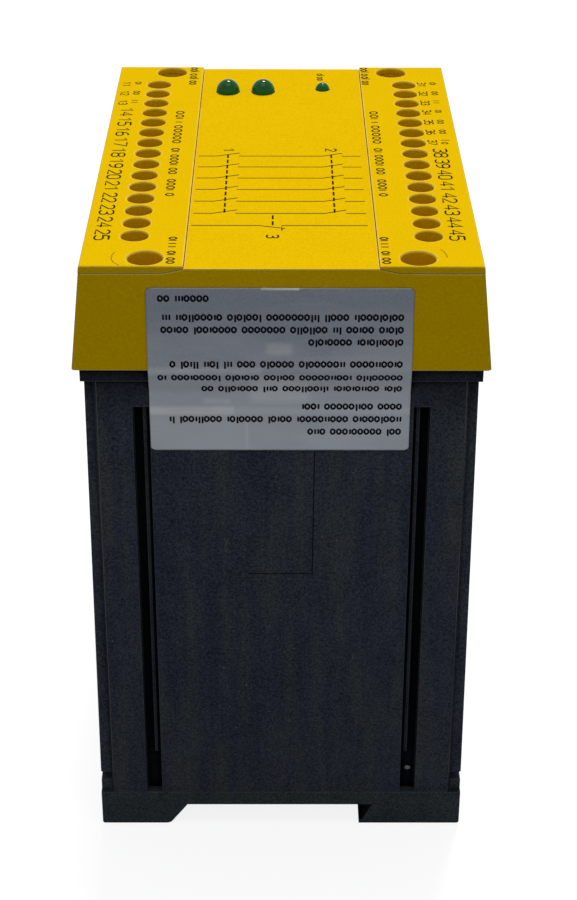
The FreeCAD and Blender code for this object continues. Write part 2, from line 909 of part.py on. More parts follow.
def build_clamp_cages(side):
    """The lifting cages: each holds its wire against the bar when the screw pulls it up."""
    tag = "left" if side < 0 else "right"
    body = new_body(tag + "_clamp_cages")
    half_x = read("chamber_half") - read("cage_play")
    thick = read("cage_wall")
    bottom = chamber_z + fit
    top = chamber_top - fit * 2
    low, high = side_x(side, well_x - half_x, well_x + half_x)
    frame = block(
        body, "frame", (low, first_y - cage_half, bottom), (high, first_y + cage_half, top),
    )
    roof = top - read("cage_roof")
    window = hollow(
        body, "wire_window",
        (low, first_y - cage_inner, bottom + thick), (high, first_y + cage_inner, roof),
    )
    centre = (side * well_x, first_y)
    thread = many_sided(body, "thread", roof, centre, shank_radius + fit / 2, SHANK_SIDES)
    hole = pocket(body, thread, top - roof, reverse=True)
    repeat(body, [frame, window, hole], row_length, ways)
    return body


def build_clamp_screws(side):
    """The terminal screws at the bottom of the wells, each turned in its cage."""
    tag = "left" if side < 0 else "right"
    body = new_body(tag + "_clamp_screws")
    tip = bar_top + fit
    seat = chamber_top + fit
    centre = (side * well_x, first_y)
    sketch = many_sided(body, "shank", tip, centre, shank_radius, SHANK_SIDES)
    shank = pad(body, sketch, seat - tip)
    radius = well_radius - read("screw_play")
    sketch = many_sided(body, "head", seat, centre, radius, HEAD_SIDES)
    head = pad(body, sketch, read("head_height"))
    repeat(body, [shank, head], row_length, ways)
    return body


def build_socket_contacts(side):
    """The socket for each pin, in one piece with the bar that the wire is clamped to."""
    tag = "left" if side < 0 else "right"
    body = new_body(tag + "_socket_contacts")
    half = read("socket_half") - fit
    low, high = side_x(side, pin_x - half, pin_x + half)
    block_made = block(
        body, "socket", (low, first_y - half, shelf_z + fit * 2), (high, first_y + half, bar_top),
    )
    bar_half = cage_inner - fit
    bar_end = well_x + read("chamber_half") - read("cage_play")
    low, high = side_x(side, pin_x + half, bar_end)
    bar = block(body, "bar", (low, first_y - bar_half, bar_z), (high, first_y + bar_half, bar_top))
    hole_half = read("pin_width") / 2 + fit / 2
    low, high = side_x(side, pin_x - hole_half, pin_x + hole_half)
    bottom = shelf_z + fit * 2
    hole = hollow(
        body, "pin_hole", (low, first_y - hole_half, bottom), (high, first_y + hole_half, bar_top),
    )
    repeat(body, [block_made, bar, hole], row_length, ways)
    return body


def pin_section(side, grow):
    """The bent pin seen along Y, and with some growth the hole that it fits."""
    half = read("pin_width") / 2 + grow
    foot = board_top - read("header_height") / 2
    leg_end = board_out + read("pin_width")
    top = shelf_z + read("pin_reach")
    return [
        (side * (pin_x - half), foot - half),
        (side * leg_end, foot - half),
        (side * leg_end, foot + half),
        (side * (pin_x + half), foot + half),
        (side * (pin_x + half), top),
        (side * (pin_x - half), top),
    ]


def build_pins(side):
    """The bent pins that join a board to its strip."""
    tag = "left" if side < 0 else "right"
    body = new_body(tag + "_pins")
    half = read("pin_width") / 2
    sketch = outline(body, "pin", "XZ_Plane", -(first_y - half), pin_section(side, 0))
    pin = pad(body, sketch, half * 2, reverse=True)
    repeat(body, [pin], row_length, ways)
    return body


def cut_pin_row(body, side):
    """Holes for a row of pins."""
    half = read("pin_width") / 2 + fit / 2
    section = pin_section(side, fit / 2)
    sketch = outline(body, "pin_hole", "XZ_Plane", -(first_y - half), section)
    hole = pocket(body, sketch, half * 2)
    repeat(body, [hole], row_length, ways)


def build_header(side):
    """The moulded strip that holds the pins beside their board."""
    tag = "left" if side < 0 else "right"
    body = new_body(tag + "_pin_header")
    near = first_y - pitch / 2
    far = first_y + row_length + pitch / 2
    low, high = side_x(side, pin_x - read("pin_slot") / 2, board_in)
    top = shelf_under - read("header_drop")
    block(body, "bar", (low, near, top - read("header_height")), (high, far, top))
    cut_pin_row(body, side)
    return body


def build_side_board(side):
    """An upright board that slides in the housing's guides."""
    tag = "left" if side < 0 else "right"
    body = new_body(tag + "_board")
    low, high = side_x(side, board_in, board_out)
    block(body, "plate", (low, -board_end, board_z), (high, board_end, board_top))
    cut_pin_row(body, side)
    return body


def build_relay(name, side, y_low, z_low):
    """A sealed force-guided relay on one of the upright boards."""
    body = new_body(name)
    low, high = side_x(side, board_in - read("relay_depth"), board_in)
    y_high = y_low + read("relay_length")
    z_high = z_low + read("relay_height")
    block(body, "can", (low, y_low, z_low), (high, y_high, z_high))
    face = side * (board_in - read("relay_depth"))
    soften(body, "Fillet", read("relay_round"), lambda spot, edge: close(spot.x, face))
    return body


def build_transformer(side, y_low, z_low):
    """The laminated core with its two windows, and the coil round its middle leg."""
    core = new_body("transformer_core")
    coil = new_body("transformer_coil")
    yoke = read("core_yoke")
    leg = read("core_leg")
    y_high = y_low + read("core_length")
    z_high = z_low + read("core_height")
    y_mid = y_low + read("core_length") / 2
    x_out = board_in - (read("coil_depth") - read("core_depth")) / 2
    x_in = x_out - read("core_depth")
    low, high = side_x(side, x_in, x_out)
    block(core, "stack", (low, y_low, z_low), (high, y_high, z_high))
    for name, start, stop in (
        ("window_near", y_low + yoke, y_mid - leg / 2),
        ("window_far", y_mid + leg / 2, y_high - yoke),
    ):
        hollow(core, name, (low, start, z_low + yoke), (high, stop, z_high - yoke))
    play = read("coil_play")
    low, high = side_x(side, board_in - read("coil_depth"), board_in)
    y_start = y_low + yoke + play
    y_stop = y_high - yoke - play
    z_start = z_low + yoke + play
    z_stop = z_high - yoke - play
    block(coil, "winding", (low, y_start, z_start), (high, y_stop, z_stop))
    low, high = side_x(side, x_in - play, x_out + play)
    hollow(
        coil, "leg_hole",
        (low, y_mid - leg / 2 - play, z_start), (high, y_mid + leg / 2 + play, z_stop),
    )
    return [core, coil]


def build_round_part(name, side, y, z, radius, depth):
    """A round part that stands on a board, with its axis along X."""
    body = new_body(name)
    sketch = disc(body, "face", "YZ_Plane", side * (board_in - depth), (y, z), radius)
    pad(body, sketch, depth, reverse=side < 0)
    return body


def build_fuse(side, y_low, z):
    """A tubular fuse lying against the left board."""
    body = new_body("fuse")
    radius = read("fuse_radius")
    sketch = disc(body, "tube", "XZ_Plane", -y_low, (side * (board_in - radius), z), radius)
    pad(body, sketch, read("fuse_length"), reverse=True)
    return body


def build_rail_latch():
    """The slider that catches the rail's lower flange; it is pulled back with a screwdriver."""
    body = new_body("rail_latch")
    half = read("latch_half")
    wing = half + read("latch_wing")
    outer = -body_half + read("latch_inset")
    floor_z = read("latch_floor")
    shoulder = read("latch_shoulder")
    roof = read("latch_roof")
    top = read("latch_top")
    front = slot_left - read("latch_inset")
    nose = [
        (outer, floor_z),
        (front + read("latch_inset"), floor_z),
        (latch_tip, shoulder - read("latch_play")),
        (latch_tip, top),
        (outer, top),
    ]
    pad(body, outline(body, "tongue", "XZ_Plane", 0, nose), half * 2, midplane=True)
    block(body, "wings", (outer, -wing, shoulder), (front, wing, roof))
    window = outer + read("window_start")
    window_end = window + read("stop_wall") + read("spring_length")
    reach = read("spring_radius") + read("latch_play") * 2
    hollow(body, "spring_window", (window, -reach, floor_z), (window_end, reach, roof))
    slot = outer + read("pull_slot") / 2
    slot_end = slot + read("pull_slot")
    slot_half = read("pull_slot_half")
    hollow(body, "pull_slot", (slot, -slot_half, floor_z), (slot_end, slot_half, roof))
    return body


def build_latch_spring():
    """The coil spring between the base's stop and the latch's window."""
    start = -body_half + read("latch_inset") + read("window_start") + read("stop_wall")
    wire = read("wire_radius")
    coil_radius = read("spring_radius") - wire
    middle_z = (read("latch_floor") + read("latch_roof")) / 2
    run = read("spring_length") - wire * 2 - fit * 2
    pitch_value = run.value / read("spring_turns").value
    helix = Part.makeHelix(pitch_value, run.value, coil_radius.value)
    ring = []
    for i in range(WIRE_SIDES + 1):
        turn = 2 * math.pi * i / WIRE_SIDES
        out = coil_radius.value + wire.value * math.cos(turn)
        ring.append(FreeCAD.Vector(out, 0, wire.value * math.sin(turn)))
    coil = Part.Wire(helix).makePipeShell([Part.makePolygon(ring)], True, True)
    spring = doc.addObject("Part::Feature", "latch_spring")
    spring.Shape = coil
    place = FreeCAD.Vector((start + wire + fit).value, 0, middle_z.value)
    spring.Placement = FreeCAD.Placement(place, FreeCAD.Rotation(FreeCAD.Vector(0, 1, 0), 90))
    return spring


def build_label():
    """A thin foil over the joint of cap and housing at the near end."""
    body = new_body("foil_label")
    thick = read("label_thickness")
    top = height - read("label_top")
    bottom = height - read("label_bottom")
    fold = band_z - read("label_fold")
    glue = read("label_glue")
    inner = [
        (-end_outer(top) - glue, top),
        (-end_outer(skirt_z) - glue, skirt_z),
        (-body_end - glue, fold),
        (-body_end - glue, bottom),
    ]
    outer = [(y - thick, z) for y, z in reversed(inner)]
    middle = read("label_x")
    half = read("label_width") / 2
    pad(body, outline(body, "strip", "YZ_Plane", middle - half, inner + outer), half * 2)
    soften(
        body, "Fillet", read("label_round"),
        lambda spot, edge: close(abs(spot.x - middle.value), half)
        and edge.Length < read("label_round").value
        and (close(spot.z, top) or close(spot.z, bottom)),
    )
    return body


pieces = [build_base_plate(), build_housing(), build_front_cap(), build_front_board()]
for name, sizes in LIGHTS.items():
    pieces.append(build_light(name, *sizes))
for side in (-1, 1):
    pieces.append(build_strip(side))
    pieces.append(build_clamp_cages(side))
    pieces.append(build_clamp_screws(side))
    pieces.append(build_socket_contacts(side))
    pieces.append(build_pins(side))
    pieces.append(build_header(side))
    pieces.append(build_side_board(side))
low_z = board_z + read("low_part")
high_z = board_z + read("high_part")
near_y = -board_end + read("relay_margin")
pieces.append(build_relay("relay_one", -1, near_y, low_z))
pieces.append(build_relay("relay_two", -1, near_y, high_z))
pieces.append(build_relay("relay_three", 1, near_y, high_z))
far_y = board_end - read("relay_margin") - read("core_length")
pieces += build_transformer(1, far_y, low_z)
can_y = near_y + read("can_radius") * 2
can_z = low_z + read("can_radius")
for name, y in (("capacitor_one", can_y), ("capacitor_two", can_y + read("can_pitch"))):
    pieces.append(build_round_part(name, 1, y, can_z, read("can_radius"), read("can_height")))
fuse_y = board_end - read("relay_margin") - read("fuse_length")
pieces.append(build_fuse(-1, fuse_y, low_z))
pieces.append(build_rail_latch())
pieces.append(build_latch_spring())
pieces.append(build_label())
doc.recompute()

for thing in doc.Objects:
    if "Invalid" in thing.State or "Error" in thing.State:
        raise RuntimeError("%s is %s" % (thing.Name, thing.State))
os.makedirs("parts", exist_ok=True)
for piece in pieces:
    if piece.Shape.isNull() or not piece.Shape.isValid():
        raise RuntimeError("%s has no valid shape" % piece.Label)
    piece.Shape.exportStep("parts/%s.step" % piece.Label)
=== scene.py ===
import math
import random

import bmesh
import bpy
from mathutils import Matrix, Vector


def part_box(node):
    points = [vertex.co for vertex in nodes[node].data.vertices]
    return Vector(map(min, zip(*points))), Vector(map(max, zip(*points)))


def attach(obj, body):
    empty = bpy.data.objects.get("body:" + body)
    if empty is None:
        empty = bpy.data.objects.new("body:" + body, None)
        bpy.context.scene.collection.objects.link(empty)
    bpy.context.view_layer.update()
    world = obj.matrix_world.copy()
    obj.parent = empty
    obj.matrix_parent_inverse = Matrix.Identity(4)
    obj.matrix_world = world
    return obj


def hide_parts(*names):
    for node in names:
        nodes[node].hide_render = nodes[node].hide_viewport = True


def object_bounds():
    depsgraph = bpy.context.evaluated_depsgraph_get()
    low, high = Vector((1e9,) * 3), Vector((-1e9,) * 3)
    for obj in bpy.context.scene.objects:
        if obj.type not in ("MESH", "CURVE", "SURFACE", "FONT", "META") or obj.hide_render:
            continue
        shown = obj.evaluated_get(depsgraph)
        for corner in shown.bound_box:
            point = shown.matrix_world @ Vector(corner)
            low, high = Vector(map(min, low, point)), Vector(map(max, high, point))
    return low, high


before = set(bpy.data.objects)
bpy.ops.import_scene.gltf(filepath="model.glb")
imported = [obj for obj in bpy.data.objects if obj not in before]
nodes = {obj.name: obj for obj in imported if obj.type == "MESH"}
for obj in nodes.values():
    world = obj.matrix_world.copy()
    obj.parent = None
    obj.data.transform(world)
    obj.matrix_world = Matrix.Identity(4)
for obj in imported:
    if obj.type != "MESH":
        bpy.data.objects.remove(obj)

bpy.context.view_layer.update()
cad_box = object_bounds()
MM = 0.001


# Base and tub
# Both are injection moulded in black glass-filled nylon. The base snaps into the tub from
# below. The mould is finely eroded, so the faces are matt and a little mottled. The edges are
# paler, partly from handling and partly as a painted highlight; the grooves are painted near
# black and a band under the skirt darker, as painted shade.
def add(tree, kind, inputs=None, **settings):
    """One node of a tree: its settings, and its inputs as numbers or as other nodes' outputs."""
    made = tree.nodes.new(kind)
    for name, value in settings.items():
        setattr(made, name, value)
    for name, value in (inputs or {}).items():
        if isinstance(value, bpy.types.NodeSocket):
            tree.links.new(value, made.inputs[name])
        else:
            made.inputs[name].default_value = value
    return made


def new_finish(name, fixed):
    """A material with its fixed numbers set: it, its tree, its shader, and the place in metres."""
    material = bpy.data.materials.new(name)
    material.use_nodes = True
    tree = material.node_tree
    shader = tree.nodes["Principled BSDF"]
    for socket, value in fixed.items():
        shader.inputs[socket].default_value = value
    return material, tree, shader, add(tree, "ShaderNodeTexCoord").outputs["Object"]


def stretched(tree, place, factors):
    """The place with each axis scaled, for grain that runs one way."""
    return add(tree, "ShaderNodeMapping", {"Vector": place, "Scale": factors}).outputs["Vector"]


def clouds(tree, place, scale, detail=2.0, rough=0.5):
    """Soft noise from 0 to 1, with so many lumps to the metre."""
    inputs = {"Vector": place, "Scale": scale, "Detail": detail, "Roughness": rough}
    return add(tree, "ShaderNodeTexNoise", inputs).outputs["Fac"]


def spread(tree, value, low, high, start=0.0, end=1.0):
    """Value between low and high becomes start to end, and stays there outside them."""
    inputs = {"Value": value, "From Min": low, "From Max": high, "To Min": start, "To Max": end}
    return add(tree, "ShaderNodeMapRange", inputs).outputs["Result"]


def sum_of(tree, kind, first, second):
    """One step of arithmetic between two values."""
    return add(tree, "ShaderNodeMath", {0: first, 1: second}, operation=kind).outputs[0]


def height_of(tree, place):
    """How high above the underside a point lies, in metres."""
    return add(tree, "ShaderNodeSeparateXYZ", {"Vector": place}).outputs["Z"]


def blend(tree, share, first, second):
    """Colour that goes from first to second as share goes from 0 to 1."""
    made = add(tree, "ShaderNodeMix", {0: share}, data_type="RGBA")
    for spot, colour in ((6, first), (7, second)):
        if isinstance(colour, bpy.types.NodeSocket):
            tree.links.new(colour, made.inputs[spot])
        else:
            made.inputs[spot].default_value = (*colour, 1)
    return made.outputs[2]


def rounded_normal(tree, radius):
    """The surface direction with its sharp edges eased over a radius."""
    return add(tree, "ShaderNodeBevel", {"Radius": radius}, samples=6).outputs["Normal"]


def edge_nearness(tree, normal, low, high):
    """How near a sharp edge a point is, by how far its eased direction has turned."""
    flat = add(tree, "ShaderNodeNewGeometry").outputs["Normal"]
    inputs = {0: normal, 1: flat}
    turned = add(tree, "ShaderNodeVectorMath", inputs, operation="DOT_PRODUCT").outputs["Value"]
    return spread(tree, sum_of(tree, "SUBTRACT", 1.0, turned), low, high)


def sheltered(tree, reach, open_share, shut_share, alone):
    """How deep in a corner or a groove a point lies; alone leaves out the pieces round it."""
    settings = {"samples": 6, "only_local": alone}
    free = add(tree, "ShaderNodeAmbientOcclusion", {"Distance": reach}, **settings).outputs["AO"]
    return spread(tree, free, open_share, shut_share)


def relief(tree, shader, height, depth, normal=None):
    """Gives the shader a fine relief of some depth, over an eased direction."""
    inputs = {"Height": height, "Distance": depth, "Strength": 1.0}
    if normal is not None:
        inputs["Normal"] = normal
    tree.links.new(add(tree, "ShaderNodeBump", inputs).outputs["Normal"], shader.inputs["Normal"])


def moulded(
    name, deep, pale, worn_and_highlight, corner, edge, grain, depth, level,
    lumps=0.4, streaks=0.0, warm=None, reach=2 * MM, shade=(0.75, 0.3), share=0.4, alone=False,
    edge_reach=0.2, dim=None,
):
    """Moulded plastic, all its colours mixed over one place.

    deep to pale is the mottle; the edge tint is partly wear and partly a painted highlight, and
    corner is what grooves and corners turn to: dust where it is lighter than the mottle, painted
    shade where it is darker. lumps and streaks weigh the mottle, and warm is pale's tint on half
    the streaks. reach, shade, share and alone say how far a groove is coloured, the edge reach how
    far the edge tint spreads, and dim paints shade over the whole between two heights: (low, high,
    share at low, share at high).
    """
    material, tree, shader, place = new_finish(name, {"Specular IOR Level": level})
    cloud = clouds(tree, place, scale=140.0, detail=5.0, rough=0.65)
    drawn = stretched(tree, place, (1, 1, 0.1))
    streak = clouds(tree, drawn, scale=300.0, detail=3.0, rough=0.6)
    speckle = clouds(tree, place, scale=grain, detail=3.0, rough=0.7)
    mottle = 0.0
    for pattern, weight in ((speckle, 2.2), (cloud, lumps), (streak, streaks)):
        part = sum_of(tree, "MULTIPLY", sum_of(tree, "SUBTRACT", pattern, 0.5), weight)
        mottle = sum_of(tree, "ADD", mottle, part)
    light = blend(tree, spread(tree, streak, 0.42, 0.62), pale, warm or pale)
    colour = blend(tree, spread(tree, mottle, -0.5, 0.5), deep, light)
    # Grooves and corners turn towards corner by ambient occlusion: dust where corner is lighter,
    # painted shade where it is darker.
    dust_and_shade = sum_of(tree, "MULTIPLY", sheltered(tree, reach, *shade, alone), share)
    colour = blend(tree, dust_and_shade, colour, corner)
    # dim paints shade over a band of heights, as a painted shadow under an overhang.
    if dim is not None:
        colour = blend(tree, spread(tree, height_of(tree, place), *dim), colour, corner)
    normal = rounded_normal(tree, edge)
    # Edges turn towards the edge tint: wear, and on the tub and the yellow parts also a painted
    # highlight.
    edges = edge_nearness(tree, normal, 0.02, edge_reach)
    scuff_and_highlight = sum_of(tree, "MULTIPLY", edges, spread(tree, cloud, 0.3, 0.7, 0.4))
    colour = blend(tree, scuff_and_highlight, colour, worn_and_highlight)
    tree.links.new(colour, shader.inputs["Base Color"])
    grainy = spread(tree, speckle, 0.3, 0.7, 0.5, 0.68)
    tree.links.new(sum_of(tree, "ADD", grainy, dust_and_shade), shader.inputs["Roughness"])
    relief(tree, shader, speckle, depth, normal)
    return material


def paint(material, *names):
    """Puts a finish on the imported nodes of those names."""
    for name in names:
        for place in nodes[name].material_slots:
            place.material = material


# corner is near black with a wide reach, so grooves and corners get painted shade; the pale edge
# tint is partly a painted highlight.
nylon_black = dict(
    deep=(0.0050, 0.0085, 0.0150),
    pale=(0.0760, 0.0900, 0.1330),
    warm=(0.0880, 0.1000, 0.1130),
    worn_and_highlight=(0.110, 0.118, 0.130),
    corner=(0.0001, 0.0002, 0.0004),
    edge=0.45 * MM,
    grain=2500.0,
    depth=0.035 * MM,
    level=0.03,
    lumps=0.4,
    streaks=0.55,
    reach=9 * MM,
    shade=(0.985, 0.62),
    share=0.98,
)
# The tub is also painted darker in a band below the skirt: a painted shadow of the skirt's
# overhang.
skirt_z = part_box("front_cap")[0].z
shadow_under_skirt = (skirt_z - 11 * MM, skirt_z - 1 * MM, 0.0, 0.55)
paint(moulded("housing_black", dim=shadow_under_skirt, **nylon_black), "housing_body")
nylon_black.update(deep=(0.0080, 0.0130, 0.0180), pale=(0.0950, 0.1120, 0.1300), alone=True)
paint(moulded("base_black", **nylon_black), "base_plate")


# Rail latch
# A slider in smoother black acetal, pulled back with a screwdriver in its slot, and pushed
# home by a coil of drawn spring wire between its window and the base.
latch_black = moulded(
    "latch_black",
    deep=(0.010, 0.010, 0.012),
    pale=(0.022, 0.023, 0.026),
    worn_and_highlight=(0.10, 0.10, 0.11),
    corner=(0.070, 0.068, 0.064),
    edge=0.25 * MM,
    grain=4200.0,
    depth=0.008 * MM,
    level=0.4,
)
paint(latch_black, "rail_latch")


def metal(name, dull, bright, run):
    """Plated or drawn metal, with fine lines along one way and a little tarnish."""
    material, tree, shader, place = new_finish(name, {"Metallic": 1.0})
    lines = clouds(tree, stretched(tree, place, run), scale=900.0, detail=3.0)
    tarnish = clouds(tree, place, scale=420.0, detail=4.0, rough=0.6)
    tree.links.new(blend(tree, tarnish, dull, bright), shader.inputs["Base Color"])
    tree.links.new(spread(tree, lines, 0.3, 0.7, 0.22, 0.45), shader.inputs["Roughness"])
    relief(tree, shader, lines, 0.006 * MM)
    return material


spring_wire = metal("spring_wire", (0.30, 0.29, 0.27), (0.55, 0.54, 0.52), (0.2, 1, 1))
paint(spring_wire, "latch_spring")


# Circuit boards
# Glass laminate under green mask, with tracks that show through the mask, upright in the
# tub's guides and flat under the panel. The bent pins are tinned brass in a black header.
def laminate(name, across, along):
    """Green mask over tracks that run mostly one way, with the odd crossing."""
    material, tree, shader, place = new_finish(name, {"Specular IOR Level": 0.5, "Roughness": 0.35})
    bends = clouds(tree, place, scale=60.0, detail=1.0)
    tracks = 0.0
    for run, width in ((across, 0.62), (along, 0.72)):
        inputs = {"Vector": stretched(tree, place, run), "Scale": 260.0, "Distortion": 0.0}
        bands = add(tree, "ShaderNodeTexWave", inputs, wave_profile="SIN").outputs["Fac"]
        line = spread(tree, bands, width, width + 0.1)
        keep = spread(tree, bends, 0.46, 0.5) if run == across else spread(tree, bends, 0.5, 0.46)
        tracks = sum_of(tree, "MAXIMUM", sum_of(tree, "MULTIPLY", line, keep), tracks)
    weave = clouds(tree, place, scale=1500.0)
    bare = blend(tree, weave, (0.006, 0.050, 0.022), (0.010, 0.075, 0.034))
    tree.links.new(blend(tree, tracks, bare, (0.030, 0.160, 0.060)), shader.inputs["Base Color"])
    relief(tree, shader, tracks, 0.03 * MM, rounded_normal(tree, 0.1 * MM))
    return material


paint(laminate("board_upright", (0, 1, 0), (0, 0, 1)), "left_board", "right_board")
paint(laminate("board_flat", (1, 0, 0), (0, 1, 0)), "front_board")
tinned = metal("tinned_brass", (0.42, 0.40, 0.36), (0.68, 0.66, 0.60), (1, 1, 0.2))
paint(tinned, "left_pins", "right_pins", "left_socket_contacts", "right_socket_contacts")
header_black = moulded(
    "header_black",
    deep=(0.012, 0.012, 0.012),
    pale=(0.022, 0.022, 0.022),
    worn_and_highlight=(0.06, 0.06, 0.06),
    corner=(0.05, 0.05, 0.05),
    edge=0.15 * MM,
    grain=5000.0,
    depth=0.006 * MM,
    level=0.45,
)
paint(header_black, "left_pin_header", "right_pin_header")


# Parts on the boards
# Sealed relays in dark grey cases, a transformer of stacked steel sheets with a taped coil,
# two capacitors in shrunk sleeves, and a glass fuse with plated caps. All are soldered.
case_grey = moulded(
    "relay_case",
    deep=(0.020, 0.024, 0.032),
    pale=(0.034, 0.040, 0.050),
    worn_and_highlight=(0.12, 0.13, 0.15),
    corner=(0.10, 0.10, 0.10),
    edge=0.4 * MM,
    grain=3800.0,
    depth=0.010 * MM,
    level=0.5,
)
paint(case_grey, "relay_one", "relay_two", "relay_three")


def banded(name, run, count, low, high, metallic, rough):
    """Layers stacked along one axis, so many to the metre: steel sheets or turns of tape."""
    material, tree, shader, place = new_finish(name, {"Metallic": metallic, "Roughness": rough})
    inputs = {"Vector": stretched(tree, place, run), "Scale": count, "Distortion": 0.0}
    bands = add(tree, "ShaderNodeTexWave", inputs, wave_profile="SAW").outputs["Fac"]
    stain = clouds(tree, place, scale=300.0, detail=4.0)
    layer = spread(tree, bands, 0.0, 0.9)
    shade = sum_of(tree, "MULTIPLY", layer, spread(tree, stain, 0.2, 0.8, 0.5))
    tree.links.new(blend(tree, shade, low, high), shader.inputs["Base Color"])
    relief(tree, shader, bands, 0.05 * MM, rounded_normal(tree, 0.2 * MM))
    return material


sheets = banded(
    "core_sheets", run=(1, 0, 0), count=320.0, low=(0.05, 0.045, 0.04), high=(0.24, 0.23, 0.22),
    metallic=0.8, rough=0.45,
)
paint(sheets, "transformer_core")
tape = banded(
    "coil_tape", run=(0, 0, 1), count=40.0, low=(0.34, 0.22, 0.03), high=(0.62, 0.44, 0.08),
    metallic=0.0, rough=0.4,
)
paint(tape, "transformer_coil")


def capped(name, axis, low, high, cap, inside, far_cap):
    """A round part along one axis: a metal cap near its low end, a body, and a cap far off."""
    material, tree, shader, place = new_finish(name, {})
    reach = add(tree, "ShaderNodeSeparateXYZ", {"Vector": place}).outputs[axis]
    first = spread(tree, reach, low + cap, low + cap + 0.05 * MM, 1.0, 0.0)
    last = spread(tree, reach, high - cap - 0.05 * MM, high - cap)
    metal_share = sum_of(tree, "MAXIMUM", first, sum_of(tree, "MULTIPLY", last, far_cap))
    haze = clouds(tree, place, scale=500.0, detail=3.0)
    body = blend(tree, haze, [0.7 * c for c in inside], inside)
    colour = blend(tree, metal_share, body, (0.62, 0.61, 0.58))
    tree.links.new(colour, shader.inputs["Base Color"])
    tree.links.new(metal_share, shader.inputs["Metallic"])
    tree.links.new(spread(tree, haze, 0.3, 0.7, 0.25, 0.4), shader.inputs["Roughness"])
    relief(tree, shader, haze, 0.01 * MM, rounded_normal(tree, 0.3 * MM))
    return material


low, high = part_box("capacitor_one")
sleeve = capped("capacitor_sleeve", "X", low.x, high.x, 0.4 * MM, (0.02, 0.03, 0.09), 0.0)
paint(sleeve, "capacitor_one", "capacitor_two")
low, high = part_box("fuse")
glass = capped("fuse_glass", "Y", low.y, high.y, 5.5 * MM, (0.45, 0.43, 0.38), 1.0)
paint(glass, "fuse")


# Terminal strips
# Each strip is moulded in yellow nylon and pulls off its pins. Under every well a zinc
# plated screw with a slotted head turns in a steel cage that lifts the wire to its bar.
# corner darkens the wells and the joints between parts as painted shade; the pale edge tint is
# partly a painted highlight on rims and edges.
yellow_plastic = dict(
    deep=(0.640, 0.395, 0.0010),
    pale=(0.820, 0.525, 0.0015),
    worn_and_highlight=(1.000, 0.820, 0.220),
    corner=(0.260, 0.125, 0.0005),
    edge=0.5 * MM,
    grain=2600.0,
    depth=0.008 * MM,
    level=0.0,
    lumps=0.3,
    share=0.62,
    edge_reach=0.1,
)
strip_yellow = moulded("strip_yellow", **yellow_plastic)
paint(strip_yellow, "left_strip_housing", "right_strip_housing")
zinc = metal("zinc_plate", (0.20, 0.205, 0.215), (0.40, 0.41, 0.42), (1, 1, 0.3))
paint(zinc, "left_clamp_cages", "right_clamp_cages", "left_clamp_screws", "right_clamp_screws")


def keep_mesh(name, mesh, material=None):
    """Puts a finished mesh in the scene as a piece of its own."""
    piece = bpy.data.objects.new(name, mesh)
    bpy.context.scene.collection.objects.link(piece)
    if material is not None:
        mesh.materials.clear()
        mesh.materials.append(material)
    return piece


def mesh_from(name, shape):
    """Closes a bmesh into a plain mesh."""
    mesh = bpy.data.meshes.new(name)
    shape.to_mesh(mesh)
    shape.free()
    return mesh


def closed_loft(shape, rings):
    """Joins rings of as many points each into one closed skin, with a face at either end."""
    for lower, upper in zip(rings, rings[1:]):
        for i in range(len(lower)):
            j = (i + 1) % len(lower)
            shape.faces.new((lower[i], lower[j], upper[j], upper[i]))
    shape.faces.new(rings[0][::-1])
    shape.faces.new(rings[-1])


def lathe(profile, sides):
    """A closed turned shape about Z, from (radius, height) points up its outside."""
    shape = bmesh.new()
    turns = [2 * math.pi * i / sides for i in range(sides)]
    closed_loft(shape, [
        [shape.verts.new((radius * math.cos(a), radius * math.sin(a), height)) for a in turns]
        for radius, height in profile
    ])
    return shape


def box_shape(low, high):
    """A closed box between two corners."""
    shape = bmesh.new()
    bmesh.ops.create_cube(shape, size=1.0)
    middle = (Vector(low) + Vector(high)) / 2
    sides = Vector(high) - Vector(low)
    place = Matrix.Translation(middle) @ Matrix.Diagonal((*sides, 1))
    bmesh.ops.transform(shape, matrix=place, verts=shape.verts)
    return shape


def shape_tree(name, **sockets):
    """A new geometry tree with its named inputs; gives the tree and those inputs."""
    tree = bpy.data.node_groups.new(name, "GeometryNodeTree")
    tree.interface.new_socket("Geometry", in_out="OUTPUT", socket_type="NodeSocketGeometry")
    for title, kind in {**sockets, "Seed": "Int", "Finish": "Material"}.items():
        tree.interface.new_socket(title, in_out="INPUT", socket_type="NodeSocket" + kind)
    return tree, add(tree, "NodeGroupInput").outputs


def made_real(tree, given, instances):
    """Ends a tree: its instances become real faces in the finish it is given."""
    real = add(tree, "GeometryNodeRealizeInstances", {"Geometry": instances}).outputs["Geometry"]
    inputs = {"Geometry": real, "Material": given["Finish"]}
    done = add(tree, "GeometryNodeSetMaterial", inputs).outputs["Geometry"]
    add(tree, "NodeGroupOutput", {"Geometry": done})
    return tree


def row_tree():
    """The tree that sets like pieces in a row, each turned its own way."""
    tree, given = shape_tree(
        "row_of_pieces", Piece="Object", Count="Int", First="Vector", Step="Vector", Turn="Float",
    )
    inputs = {"Count": given["Count"], "Start Location": given["First"], "Offset": given["Step"]}
    line = add(tree, "GeometryNodeMeshLine", inputs, mode="OFFSET").outputs["Mesh"]
    piece = add(tree, "GeometryNodeObjectInfo", {"Object": given["Piece"]}).outputs["Geometry"]
    chance = add(tree, "FunctionNodeRandomValue", {"Seed": given["Seed"]}, data_type="FLOAT")
    tree.links.new(given["Turn"], chance.inputs[3])
    angles = add(tree, "ShaderNodeCombineXYZ", {"Z": chance.outputs[1]}).outputs["Vector"]
    turn = add(tree, "FunctionNodeEulerToRotation", {"Euler": angles}).outputs["Rotation"]
    inputs = {"Points": line, "Instance": piece, "Rotation": turn}
    placed = add(tree, "GeometryNodeInstanceOnPoints", inputs).outputs["Instances"]
    return made_real(tree, given, placed)


